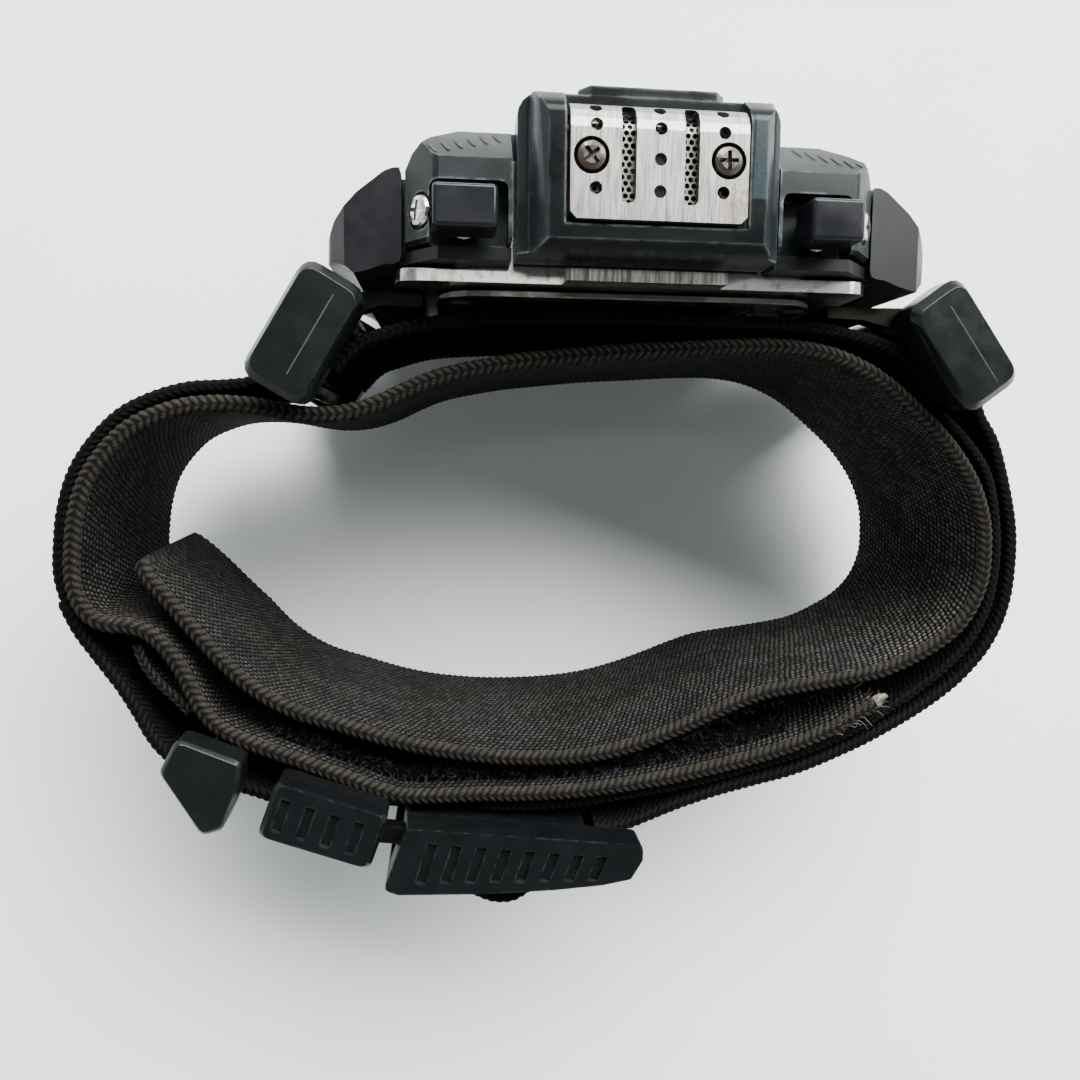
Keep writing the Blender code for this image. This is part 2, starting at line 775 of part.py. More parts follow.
def add_button(index, side, near):
    """A cap with its stem, and the return spring round the stem."""
    u = side * BUTTON_U
    low_u = u - BUTTON_LENGTHS[side] / 2
    high_u = u + BUTTON_LENGTHS[side] / 2
    low_h = BUTTON_H - BUTTON_WIDTH / 2
    high_h = BUTTON_H + BUTTON_WIDTH / 2
    if near:
        cap_low, cap_high = NEAR_CAP_LOW, NEAR_CAP_HIGH
        stem_start, stem_end = 28.8, NEAR_CAP_LOW + 0.3
        coil = spring(SPRING_R, 0.16, NEAR_CAP_LOW - 1.55, NEAR_CAP_LOW - 0.15, 2.5)
    else:
        cap_low, cap_high = FAR_CAP_LOW, FAR_CAP_HIGH
        stem_start, stem_end = FAR_CAP_HIGH - 0.3, 9.2
        coil = spring(SPRING_R, 0.1, FAR_CAP_HIGH + 0.15, FAR_CAP_HIGH + 0.95, 1.5)
    cap = box((low_u, low_h, cap_low), (high_u, high_h, cap_high))
    obj = part(f"button_cap_{index}", cap, "button_plastic", HEAD)
    softened(obj, 0.35 if near else 0.2, 2)
    cut(obj, rod(STEM_R, (u, BUTTON_H, stem_start), (u, BUTTON_H, stem_end), 16), "UNION")
    spring_obj = part(f"button_spring_{index}", coil, "steel", HEAD, True)
    spring_obj.location = (u * MM, BUTTON_H * MM, 0)


def spring(radius, wire_r, low, high, turns):
    """A short coil of round wire."""
    curve = bpy.data.curves.new("coil", "CURVE")
    curve.dimensions = "3D"
    curve.bevel_depth = wire_r * MM
    curve.bevel_resolution = 1
    curve.use_fill_caps = True
    count = 30
    spline = curve.splines.new("POLY")
    spline.points.add(count)
    for k, point in enumerate(spline.points):
        t = k / count
        angle = turns * 2 * math.pi * t
        z = low + wire_r + (high - low - 2 * wire_r) * t
        point.co = (radius * math.cos(angle) * MM, radius * math.sin(angle) * MM, z * MM, 1)
    return mesh_from(baked(curve))


# ---------------------------------------------------------------- lugs


def add_lug_hardware():
    sides = (
        ("left", LEFT_PIVOT, (-18.4, -13.9), (18.0, 19.1)),
        ("right", RIGHT_PIVOT, (21.9, 26.2), (19.05, 20.1)),
    )
    for name, pivot, (x_low, x_high), (y_low, y_high) in sides:
        part(
            f"spring_bar_{name}",
            rod(SPRING_BAR_R, (*pivot, 6.9), (*pivot, 31.1), 16),
            "steel", BAND, True,
        )
        base = box((x_low, y_low, 6.8), (x_high, y_high, 31.2))
        inner = x_low if name == "left" else x_high
        ears = []
        for z_low, z_high in ((6.8, 8.9), (29.1, 31.2)):
            ears.append(prism(ear_outline(pivot, inner, y_low, y_high), z_low, z_high))
        bracket = part(f"lug_bracket_{name}", joined(base, *ears), "steel", BAND)
        cut(bracket, rod(0.85, (*pivot, 5), (*pivot, 33), 24))


def ear_outline(pivot, x_edge, y_low, y_high):
    """A rounded end about the pivot that runs into the bracket's base."""
    side = 1 if x_edge > pivot[0] else -1
    far_x = x_edge + side * 1.0
    r = 1.3
    arc = []
    for k in range(9):
        angle = math.radians(90 + 180 * k / 8)
        arc.append((pivot[0] + side * r * math.cos(angle), pivot[1] + r * math.sin(angle)))
    return arc + [(far_x, y_low), (far_x, y_high)]


# ---------------------------------------------------------------- rings


def ring_point(ring, s, t):
    centre, n, d = ring
    return (centre[0] + s * n[0] + t * d[0], centre[1] + s * n[1] + t * d[1])


def ring_outline(ring, points):
    return [ring_point(ring, s, t) for s, t in points]


def add_ring(name, ring, pivot):
    """A rectangular ring: two cheeks, two bars and a knuckle on the spring bar."""
    cheek = rounded(
        ring_outline(ring, [(-2.9, -5.4), (2.9, -5.4), (2.9, 5.4), (-2.9, 5.4)]),
        1.5, 4,
    )
    near = chamfered_plate(cheek, 31.8, 35.0, 0.7)
    far = chamfered_plate(cheek, 3.0, 6.2, 0.7, False)
    top = rounded(
        ring_outline(ring, [(-1.6, -1.15), (2.4, -1.15), (2.4, 0.4), (-1.6, 0.4)]),
        0.4, 2,
    )
    bottom = rounded(
        ring_outline(ring, [(-1.7, 2.9), (1.1, 2.9), (1.1, 4.5), (-1.7, 4.5)]),
        0.6, 2,
    )
    neck = ring_outline(ring, [(-1.1, -2.9), (1.1, -2.9), (1.1, -0.6), (-1.1, -0.6)])
    mesh = joined(
        near, far,
        prism(top, 5.8, 32.2), prism(bottom, 5.8, 32.2),
        rod(1.6, (*pivot, 9.3), (*pivot, 28.7), 24), prism(neck, 9.3, 28.7),
    )
    obj = part(name, mesh, "buckle_plastic", BAND)
    cut(obj, rod(0.85, (*pivot, 8), (*pivot, 30), 24))


def chamfered_plate(outline, low, high, inset, near=True):
    """A plate whose outer face has a chamfered rim."""
    centre = Vector((0, 0))
    for point in outline:
        centre += Vector(point) / len(outline)
    scaled = []
    for point in outline:
        offset = Vector(point) - centre
        scaled.append(tuple(centre + offset * (1 - inset / offset.length)))
    bm = bmesh.new()
    levels = (low, high - inset, high) if near else (high, low + inset, low)
    rows = []
    for level, row in zip(levels, (outline, outline, scaled)):
        rows.append([bm.verts.new((x * MM, y * MM, level * MM)) for x, y in row])
    for lower, upper in zip(rows, rows[1:]):
        for k in range(len(outline)):
            j = (k + 1) % len(outline)
            bm.faces.new((lower[k], lower[j], upper[j], upper[k]))
    bm.faces.new(rows[0])
    bm.faces.new(rows[-1])
    return mesh_from(bm)


# ---------------------------------------------------------------- fabric


def strap_near_z(y):
    """The near edge of the band sinks a little towards the buckle."""
    t = min(max((10 - y) / 30, 0), 1)
    return STRAP_NEAR_HIGH + (STRAP_NEAR_LOW - STRAP_NEAR_HIGH) * t


def smooth_path(points, spacing):
    """Points along a Catmull-Rom curve through the given ones."""
    result = []
    count = len(points)
    for i in range(count - 1):
        p0 = Vector(points[max(i - 1, 0)])
        p1 = Vector(points[i])
        p2 = Vector(points[i + 1])
        p3 = Vector(points[min(i + 2, count - 1)])
        steps = max(1, round((p2 - p1).length / spacing))
        for k in range(steps):
            t = k / steps
            result.append(
                0.5 * (2 * p1 + (p2 - p0) * t + (2 * p0 - 5 * p1 + 4 * p2 - p3) * t * t
                       + (3 * p1 - 3 * p2 + p3 - p0) * t ** 3)
            )
    result.append(Vector(points[-1]))
    return result


# How far the tail's corners are trimmed at its last points.
TAIL_TRIM = (2.0, 0.6)


def strap(name, points, finish_name, width=OUTER_WIDTH, thickness=PLY_THICKNESS,
          spacing=1.5, lean=None, taper=False):
    """A band of fabric standing on edge along a path, thickened both ways.

    A lean moves the far edge sideways; taper rounds off the corners of the end.
    """
    path = smooth_path(points, spacing)
    inset = (LINER_WIDTH - width) / 2
    bm = bmesh.new()
    near_row = []
    far_row = []
    for k, point in enumerate(path):
        near_z = strap_near_z(point.y) - inset
        to_end = len(path) - 1 - k
        trim = TAIL_TRIM[to_end] if taper and to_end < len(TAIL_TRIM) else 0.0
        dx, dy = lean(k / (len(path) - 1)) if lean else (0.0, 0.0)
        near_row.append(bm.verts.new((point.x * MM, point.y * MM, (near_z - trim) * MM)))
        far_row.append(
            bm.verts.new(((point.x + dx) * MM, (point.y + dy) * MM, (near_z - width + trim) * MM))
        )
    for k in range(len(path) - 1):
        bm.faces.new((near_row[k], far_row[k], far_row[k + 1], near_row[k + 1]))
    mesh = mesh_from(bm)
    obj = part(name, mesh, finish_name, BAND, True)
    modifier = obj.modifiers.new("Solidify", "SOLIDIFY")
    modifier.thickness = thickness * MM
    modifier.offset = 0
    return obj


# The inner band from its frayed end at the bottom right, once round and on to its tail.
LINER_PATH = [
    (30.4, -16.8), (28.9, -17.6), (26.8, -19.0), (23.0, -20.7), (19.1, -22.0),
    (15.3, -23.0), (11.4, -23.9), (7.6, -24.6), (3.8, -25.2), (0.0, -25.6), (-3.8, -25.75),
    (-7.5, -25.75), (-11.2, -25.9), (-14.4, -25.9), (-16.7, -25.3), (-19.4, -24.3),
    (-22.1, -23.3), (-24.7, -22.3), (-27.4, -21.3), (-29.6, -20.4), (-31.2, -19.4),
    (-32.3, -18.1), (-33.1, -16.6), (-33.8, -15.0), (-34.7, -13.3), (-35.8, -11.8),
    (-37.1, -10.7), (-38.7, -10.2), (-40.3, -10.1), (-41.7, -9.4), (-42.6, -8.0),
    (-43.0, -6.0), (-42.9, -3.6), (-42.5, -0.7), (-41.6, 2.2), (-40.1, 4.6), (-38.1, 6.7),
    (-35.8, 8.0), (-33.1, 8.9), (-30.3, 9.2), (-27.5, 9.1), (-24.6, 8.7), (-22.2, 8.6),
    (-19.7, 9.0), (-17.2, 9.9), (-14.7, 11.2), (-12.2, 12.3), (-8.8, 13.2), (-5.4, 13.9),
    (-2.0, 14.4), (3.3, 15.1), (8.6, 15.6), (13.9, 16.1), (18.5, 16.3), (22.2, 15.9),
    (25.1, 15.0), (28.0, 13.5), (31.4, 10.9), (34.6, 8.1), (37.2, 4.9), (38.8, 1.5),
    (39.4, -1.8), (39.4, -4.7), (38.5, -7.5), (36.7, -9.8), (34.0, -11.7), (30.7, -13.3),
    (26.8, -14.2), (22.4, -15.0), (19.1, -15.7), (16.3, -16.8), (13.0, -18.4), (9.3, -20.1),
    (5.5, -21.4), (1.7, -22.1), (-2.0, -22.3), (-5.7, -22.2), (-9.4, -21.8), (-13.1, -21.2),
    (-16.8, -20.3), (-20.3, -19.2), (-23.9, -18.1), (-26.7, -16.7), (-29.1, -14.9),
    (-31.3, -12.6), (-33.3, -10.2), (-35.0, -8.0), (-36.5, -6.2), (-37.8, -4.6),
]


def liner_lean(fraction):
    """The far edge leans in along the inner bottom turn and back at its tail."""
    bottom = math.exp(-((fraction - 0.835) / 0.045) ** 2)
    tail = max(0.0, (fraction - 0.965) / 0.035)
    return -1.9 * tail, 1.0 * bottom + 0.2 * tail


def offset_path(points, distance):
    """A path moved sideways; positive is to the left of the direction of travel."""
    result = []
    for i, point in enumerate(points):
        before = Vector(points[max(i - 1, 0)])
        after = Vector(points[min(i + 1, len(points) - 1)])
        along = (after - before).normalized()
        result.append((point[0] - along.y * distance, point[1] + along.x * distance))
    return result


def add_liner():
    strap(
        "liner_band", LINER_PATH, "liner_fabric", LINER_WIDTH, LINER_THICKNESS, 1.3,
        liner_lean, True,
    )
    hook = offset_path(LINER_PATH[3:19], -1.42)
    strap("hook_pad", hook, "hook_tape", 21.0, 0.7, 2.0)
    loop = offset_path(LINER_PATH[67:73], 1.42)
    strap("loop_pad", loop, "hook_tape", 21.0, 0.7, 2.0)


def add_under_case_strap():
    path = [(-21.2, 12.5), (-20.5, 13.3), (-19.7, 14.2), (-18.6, 15.0), (-17.1, 15.6),
            (-14.0, 16.6), (-10.6, 17.1), (-3.8, 17.65), (3.1, 18.0), (10.2, 18.2),
            (17.4, 18.3), (21.1, 18.1), (24.9, 17.55), (27.7, 16.85), (29.6, 16.0),
            (30.7, 14.9), (31.9, 13.4), (33.0, 12.2)]
    strap("under_case_strap", path, "outer_fabric", LINER_WIDTH, PLY_THICKNESS, 1.8)


def add_left_strap():
    around = [ring_point(LEFT_RING, s, t)
              for s, t in ((-2.1, 1.7), (0.0, 1.8), (1.4, 2.2), (2.3, 3.2), (2.6, 4.6))]
    beside = offset_path(LINER_PATH[28:42], 1.62)
    beside.reverse()
    end = [(-44.3, -8.7), (-43.3, -11.0), (-41.8, -13.3), (-39.9, -16.1), (-38.5, -18.6),
           (-37.5, -20.6), (-36.2, -22.3), (-34.3, -23.8), (-31.8, -24.9), (-29.0, -25.7),
           (-26.5, -26.55), (-24.5, -27.2)]
    path = around + [(-28.3, 11.2)] + beside[2:-2] + end
    strap("left_strap", path, "outer_fabric")
    fold = [(-37.0, -15.2), (-36.0, -16.3), (-34.9, -17.4), (-33.9, -18.6)]
    strap("left_strap_fold", fold, "liner_fabric", OUTER_WIDTH, 0.9)


def add_right_straps():
    around = [ring_point(RIGHT_RING, s, t)
              for s, t in ((-1.3, 1.65), (0.3, 1.65), (1.5, 2.0), (2.1, 3.1), (1.9, 4.6),
                           (1.0, 6.1), (0.4, 7.8))]
    outer = around + [
        (39.7, 8.6), (41.3, 4.8), (42.6, 0.7), (43.1, -3.2), (43.0, -7.1), (41.9, -10.7),
        (39.9, -13.7), (37.7, -15.9), (34.8, -18.1), (31.1, -20.4), (27.2, -22.3),
        (23.3, -23.9), (19.3, -25.0), (15.4, -26.1), (11.9, -27.3), (9.2, -28.4),
        (7.0, -29.3), (5.2, -29.75), (3.6, -29.65),
    ]
    strap("right_strap_outer", outer, "outer_fabric")
    inner = [
        (33.9, 11.2), (36.6, 9.0), (39.1, 6.2), (40.45, 3.0), (41.3, -0.8), (41.5, -4.2),
        (41.1, -7.6), (39.8, -10.7), (37.8, -13.2), (35.0, -15.7), (31.7, -18.1),
        (28.0, -20.4), (23.3, -22.3), (19.2, -23.5), (15.3, -24.6), (11.5, -25.5),
        (7.7, -26.2), (3.8, -26.85), (0.1, -27.3), (-3.7, -27.45), (-7.4, -27.4),
    ]
    strap("right_strap_inner", inner, "outer_fabric", OUTER_WIDTH, 0.9)
    outline = buckle_outline(
        FEMALE, [(-7.0, -3.05), (-5.8, -4.3), (-3.8, -5.3), (-1.9, -5.2), (-0.3, -4.1), (0.7, -2.5)]
    )
    part("right_strap_fold", prism(outline, 4.0, 29.0), "outer_fabric", BAND)


# ---------------------------------------------------------------- buckle


def buckle_point(frame, a, b):
    origin, along, up = frame
    return (origin[0] + a * along[0] + b * up[0], origin[1] + a * along[1] + b * up[1])


def buckle_outline(frame, points):
    return [buckle_point(frame, a, b) for a, b in points]


def add_strap_adjuster():
    """A triangular keeper: two cheeks joined by two bars with the strap between."""
    outline = rounded(
        [(-33.7, -19.3), (-28.2, -21.4), (-28.5, -24.3), (-29.9, -27.5), (-31.6, -28.1),
         (-35.2, -22.4)], 0.7, 2,
    )
    far_cheek = KEEPER_FAR_Z + KEEPER_CHEEK
    near_cheek = KEEPER_NEAR_Z - KEEPER_CHEEK
    bars = [
        rod(KEEPER_BAR_R, (x, y, far_cheek - 0.4), (x, y, near_cheek + 0.4), 12)
        for x, y in ((-31.8, -21.95), (-31.5, -26.75))
    ]
    mesh = joined(
        chamfered_plate(outline, near_cheek, KEEPER_NEAR_Z, 0.4),
        chamfered_plate(outline, KEEPER_FAR_Z, far_cheek, 0.4, False),
        *bars,
    )
    part("strap_adjuster", mesh, "buckle_plastic", BAND)


def male_block(along, up):
    """A rectangle in the male half's frame with slightly rounded corners."""
    (a_low, a_high), (b_low, b_high) = along, up
    corners = [(a_low, b_low), (a_high, b_low), (a_high, b_high), (a_low, b_high)]
    return rounded(buckle_outline(MALE, corners), 0.5, 2)


def add_male():
    body = prism(male_block((-5.1, 3.0), (-2.6, 1.8)), 6.0, 27.0)
    tab = prism(male_block((-5.0, -3.2), (-2.5, 1.7)), 4.0, 29.0)
    guide = prism(buckle_outline(MALE, [(2.0, -1.9), (5.2, -1.9), (5.2, -0.2), (2.0, -0.2)]), 13, 20)
    tongue = prism(
        buckle_outline(FEMALE, [(-15.6, -0.6), (-5.6, -0.6), (-5.0, -0.2), (-5.0, 0.6),
                                (-5.6, 1.0), (-15.6, 1.0)]),
        13.0, 20.0,
    )
    male = part("buckle_male", joined(body, tab, guide, tongue), "buckle_plastic", BAND)
    pocket = buckle_outline(MALE, [(-7, -2.2), (-2.6, -2.2), (-2.6, -0.4), (-7, -0.4)])
    cut(male, prism(pocket, 5.2, 27.9))


def add_release_arm(name, near):
    """A ribbed pinch pad with the prong that runs into the female half."""
    def z(value):
        return value if near else BUCKLE_WIDTH - value

    def slab(outline, low, high):
        low, high = sorted((z(low), z(high)))
        return prism(outline, low, high)

    pad_outline = rounded(
        buckle_outline(MALE, [(-5.1, -2.65), (5.1, -2.65), (5.1, 2.65), (-5.1, 2.65)]), 0.8, 3
    )
    low, high = sorted((z(BUCKLE_WIDTH - PAD_THICKNESS), z(BUCKLE_WIDTH)))
    pad = chamfered_plate(pad_outline, low, high, 0.4, near)
    knee = slab(
        buckle_outline(MALE, [(3.5, -1.9), (5.0, -1.9), (5.0, -0.2), (3.5, -0.2)]), 26.9, 29.8
    )
    prong = slab(
        buckle_outline(FEMALE, [(-15.5, -0.6), (-5.7, -0.6), (-5.0, -0.1), (-5.0, 0.5),
                                (-5.7, 1.0), (-15.5, 1.0)]),
        26.9, 28.6,
    )
    arm = part(name, joined(pad, knee, prong), "buckle_plastic", BAND)
    for k in range(4):
        a = -3.7 + 2.2 * k
        groove = [(a - 0.42, -1.7), (a + 0.42, -1.7), (a + 0.42, 1.3), (a - 0.42, 1.3)]
        cut(arm, slab(buckle_outline(MALE, groove), BUCKLE_WIDTH - RIB_DEPTH, BUCKLE_WIDTH + 1))


def add_female():
    outline = [(-12.3, 2.86), (9.0, 2.98), (9.15, 1.6), (8.3, -0.3), (5.7, -1.05),
               (1.5, -1.8), (-5.0, -2.65), (-12.4, -3.25), (-13.7, -2.9)]
    shape = rounded(buckle_outline(FEMALE, outline), 0.5, 2)
    female = part("buckle_female", prism(shape, 0.0, BUCKLE_WIDTH), "buckle_plastic", BAND)
    softened(female, 0.35)
    top = buckle_outline(FEMALE, [(-14, 2.35), (12, 2.35), (12, 5), (-14, 5)])
    cut(female, prism(top, 3.4, 29.6))
    cavity = buckle_outline(
        FEMALE, [(-16, -2.1), (-13, -2.1), (-5, -1.25), (-3.5, -1.05), (-3.5, 1.4), (-16, 1.4)]
    )
    cut(female, prism(cavity, 4.0, 29.0))
    channel = buckle_outline(FEMALE, [(4.4, 0.55), (12, -0.3), (12, 5), (4.4, 5)])
    cut(female, prism(channel, 4.4, 28.6))
    for k in range(8):
        a = -10.3 + 2.19 * k
        foot = -2.1 + 0.2 * k
        for z_low, z_high in ((BUCKLE_WIDTH - RIB_DEPTH, BUCKLE_WIDTH + 1), (-1, RIB_DEPTH)):
            slot = buckle_outline(
                FEMALE, [(a, 1.6), (a - 0.7, foot), (a + 0.15, foot), (a + 0.85, 1.6)]
            )
            cut(female, prism(slot, z_low, z_high))


# ---------------------------------------------------------------- build


clear_scene()
PARTS = make_collection("dive_computer")
CUTTERS = make_collection("cutters")
CUTTERS.hide_render = True

BAND = link(bpy.data.objects.new("band_frame", None), None, PARTS)
BAND.location = (ORIGIN_SHIFT[0] * MM, ORIGIN_SHIFT[1] * MM, 0)
HEAD = link(bpy.data.objects.new("head_frame", None), BAND, PARTS)
HEAD.location = (HEAD_X * MM, HEAD_Y * MM, 0)
HEAD.rotation_euler = Euler((0, 0, math.radians(HEAD_LEAN)))

add_case_middle()
add_case_back()
add_back_screws()
add_glass()
add_dial()
add_bezel()
add_bezel_screws()
add_sensor_housing()
add_grille_plate()
add_sensor()
add_case_guard()
add_buttons()
add_lug_hardware()
add_ring("ring_left", LEFT_RING, LEFT_PIVOT)
add_ring("ring_right", RIGHT_RING, RIGHT_PIVOT)
add_liner()
add_under_case_strap()
add_left_strap()
add_right_straps()
add_strap_adjuster()
add_male()
add_release_arm("release_arm_near", True)
add_release_arm("release_arm_far", False)
add_female()
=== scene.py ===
"""Looks of the wrist dive computer: materials, woven bands, small details, light and camera."""

import math
import random

import bmesh
import bpy
from mathutils import Matrix, Vector, noise


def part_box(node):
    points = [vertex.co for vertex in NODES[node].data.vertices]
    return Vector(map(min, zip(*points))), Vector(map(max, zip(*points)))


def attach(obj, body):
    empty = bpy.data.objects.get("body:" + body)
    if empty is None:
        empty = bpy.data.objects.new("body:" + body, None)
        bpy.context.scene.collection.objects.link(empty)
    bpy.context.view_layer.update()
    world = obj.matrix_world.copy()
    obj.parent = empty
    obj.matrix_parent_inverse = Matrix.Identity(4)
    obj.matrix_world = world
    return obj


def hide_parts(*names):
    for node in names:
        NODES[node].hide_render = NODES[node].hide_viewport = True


MM = 0.001
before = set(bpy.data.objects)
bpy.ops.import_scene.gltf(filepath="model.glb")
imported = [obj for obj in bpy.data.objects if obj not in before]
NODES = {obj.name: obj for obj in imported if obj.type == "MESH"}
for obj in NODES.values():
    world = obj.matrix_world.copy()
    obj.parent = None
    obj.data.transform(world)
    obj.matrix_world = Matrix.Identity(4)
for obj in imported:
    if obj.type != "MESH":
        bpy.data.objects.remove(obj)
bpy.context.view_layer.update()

# The band's own axes and the head's place in them, in millimetres.
LEFT_PIVOT = Vector((-21.7, 17.54, 0.0))
HEAD_PLACE = Vector((3.9, 20.0, 0.0))
HEAD_LEAN = math.radians(1.6)


def link_new(name, data):
    obj = bpy.data.objects.new(name, data)
    bpy.context.scene.collection.objects.link(obj)
    return obj


def middle(node):
    low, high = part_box(node)
    return (low + high) / 2 / MM


SHIFT = middle("spring_bar_left") - LEFT_PIVOT
SHIFT.z = 0.0
CASE_STEP_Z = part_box("case_middle")[1].z / MM
STEP_FADE_START = 0.3
STEP_FADE_END = 0.1

# Shading helpers


class Shade:
    """One node material, with short calls for the nodes that recur."""

    def __init__(self, name, colour, roughness, metallic=0.0):
        self.material = bpy.data.materials.new(name)
        self.material.use_nodes = True
        self.tree = self.material.node_tree
        self.shader = self.tree.nodes["Principled BSDF"]
        self.set("Base Color", (*colour, 1.0))
        self.set("Roughness", roughness)
        self.set("Metallic", metallic)
        self.coords = self.tree.nodes.new("ShaderNodeTexCoord")

    def set(self, socket, value):
        target = self.shader.inputs[socket]
        if isinstance(value, bpy.types.NodeSocket):
            self.tree.links.new(value, target)
        else:
            target.default_value = value

    def feed(self, node, index, value):
        if isinstance(value, bpy.types.NodeSocket):
            self.tree.links.new(value, node.inputs[index])
        elif value is not None:
            node.inputs[index].default_value = value

    def place(self, scale=(1, 1, 1), rotation=(0, 0, 0), source="Object"):
        """Texture coordinates in millimetres of the model, stretched by scale."""
        mapping = self.tree.nodes.new("ShaderNodeMapping")
        mapping.inputs["Scale"].default_value = [s / MM for s in scale]
        mapping.inputs["Rotation"].default_value = rotation
        self.tree.links.new(self.coords.outputs[source], mapping.inputs["Vector"])
        return mapping.outputs[0]

    def noise(self, scale, detail=3.0, rough=0.55, where=None):
        node = self.tree.nodes.new("ShaderNodeTexNoise")
        node.inputs["Scale"].default_value = scale
        node.inputs["Detail"].default_value = detail
        node.inputs["Roughness"].default_value = rough
        self.feed(node, "Vector", where if where is not None else self.place())
        return node.outputs["Fac"]

    def cells(self, scale):
        node = self.tree.nodes.new("ShaderNodeTexVoronoi")
        node.inputs["Scale"].default_value = scale
        self.feed(node, "Vector", self.place())
        return node.outputs["Distance"]

    def math(self, operation, a, b=None, c=None, clamp=False):
        node = self.tree.nodes.new("ShaderNodeMath")
        node.operation = operation
        node.use_clamp = clamp
        for index, value in enumerate((a, b, c)):
            self.feed(node, index, value)
        return node.outputs[0]

    def times(self, a, b):
        return self.math("MULTIPLY", a, b)

    def span(self, value, low, high, to_low=0.0, to_high=1.0):
        """A value mapped from one span to another, held at its ends."""
        node = self.tree.nodes.new("ShaderNodeMapRange")
        node.interpolation_type = "SMOOTHSTEP"
        for index, item in enumerate((value, low, high, to_low, to_high)):
            self.feed(node, index, item)
        return node.outputs[0]

    def mix(self, factor, a, b, blend="MIX"):
        node = self.tree.nodes.new("ShaderNodeMix")
        node.data_type = "RGBA"
        node.blend_type = blend
        self.feed(node, 0, factor)
        for index, value in ((6, a), (7, b)):
            self.feed(node, index, (*value, 1.0) if isinstance(value, tuple) else value)
        return node.outputs[2]

    def split(self, vector):
        node = self.tree.nodes.new("ShaderNodeSeparateXYZ")
        self.feed(node, 0, vector)
        return node.outputs

    def bump(self, height, distance, strength):
        node = self.tree.nodes.new("ShaderNodeBump")
        node.inputs["Strength"].default_value = strength
        node.inputs["Distance"].default_value = distance * MM
        self.feed(node, "Height", height)
        return node.outputs[0]

    def edges(self, radius, low=0.02, high=0.25):
        """A mask that is 1 along sharp convex and concave edges."""
        soft = self.tree.nodes.new("ShaderNodeBevel")
        soft.samples = 4
        soft.inputs["Radius"].default_value = radius * MM
        geometry = self.tree.nodes.new("ShaderNodeNewGeometry")
        dot = self.tree.nodes.new("ShaderNodeVectorMath")
        dot.operation = "DOT_PRODUCT"
        self.tree.links.new(soft.outputs[0], dot.inputs[0])
        self.tree.links.new(geometry.outputs["Normal"], dot.inputs[1])
        return self.span(self.math("SUBTRACT", 1.0, dot.outputs["Value"]), low, high)

    def facing(self):
        """The geometry's normal, split into x, y and z."""
        geometry = self.tree.nodes.new("ShaderNodeNewGeometry")
        return self.split(geometry.outputs["Normal"])


# Hard materials


def bezel_paint():
    """Metallic dark green-grey paint, rubbed pale along its edges."""
    tint = (0.0082, 0.0106, 0.0108)
    shade = Shade("bezel_paint", tint, 0.42, 0.3)
    shade.set("Specular IOR Level", 0.22)
    cloud = shade.noise(0.35, 4)
    fleck = shade.noise(14.0, 2)
    colour = shade.mix(shade.span(cloud, 0.35, 0.7), tint, tuple(1.4 * c for c in tint))
    colour = shade.mix(shade.span(fleck, 0.52, 0.75, 0, 0.25), colour, (0.08, 0.09, 0.095))
    rub = shade.times(shade.edges(0.4), shade.span(shade.noise(0.9, 5), 0.38, 0.64))
    colour = shade.mix(rub, colour, (0.15, 0.17, 0.175))
    shade.set("Base Color", colour)
    shade.set("Roughness", shade.span(cloud, 0.3, 0.75, 0.34, 0.46))
    shade.set("Normal", shade.bump(fleck, 0.004, 0.5))
    return shade.material


# The scuff, measured from the plate's right and bottom edges, and its height; all in millimetres.
SCUFF_START = 0.5
SCUFF_END = 1.7
SCUFF_BOTTOM = 2.5
SCUFF_Z = 41.4
SCUFF_SOFT = 0.15
SCUFF_SOFT_ENDS = 0.2


def housing_paint_painted_shade():
    """The bezel's paint, darkened for the shade on the housing (painted shade), with sideways faces
    painted lighter (painted light) and the bluish scuff beside the plate.
    """
    # Painted shade: a tint far darker than the bezel's, for the shade on the housing.
    tint = (0.0008, 0.0016, 0.0018)
    shade = Shade("housing_paint_painted_shade", tint, 0.28, 0.2)
    shade.set("Specular IOR Level", 0.13)
    cloud = shade.noise(0.3, 4)
    fleck = shade.noise(16.0, 2)
    colour = shade.mix(shade.span(cloud, 0.35, 0.7), tint, (0.0014, 0.0026, 0.0028))
    # Painted light: faces turned towards x are painted lighter.
    lit_sides = shade.math("ABSOLUTE", shade.facing()[0])
    colour = shade.mix(shade.span(lit_sides, 0.25, 0.8), colour, (0.016, 0.021, 0.022))
    low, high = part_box("sensor_grille_plate")
    x, y, z = shade.split(shade.place())
    left = high.x / MM + SCUFF_START
    right = high.x / MM + SCUFF_END
    bottom = low.y / MM + SCUFF_BOTTOM
    across = shade.times(
        shade.span(x, left - SCUFF_SOFT, left),
        shade.span(x, right - SCUFF_SOFT, right, 1, 0),
    )
    along = shade.span(y, bottom - SCUFF_SOFT_ENDS, bottom)
    height = shade.span(z, SCUFF_Z - SCUFF_SOFT_ENDS, SCUFF_Z)
    patch = shade.times(shade.times(across, along), height)
    patch = shade.times(patch, shade.span(fleck, 0.3, 0.65, 0.35, 1.0))
    colour = shade.mix(patch, colour, (0.024, 0.036, 0.040))
    rub = shade.times(shade.edges(0.4), shade.span(shade.noise(0.8, 5), 0.33, 0.6))
    colour = shade.mix(rub, colour, (0.14, 0.16, 0.165))
    shade.set("Base Color", colour)
    shade.set("Roughness", shade.span(cloud, 0.3, 0.75, 0.24, 0.34))
    shade.set("Normal", shade.bump(fleck, 0.004, 0.5))
    return shade.material


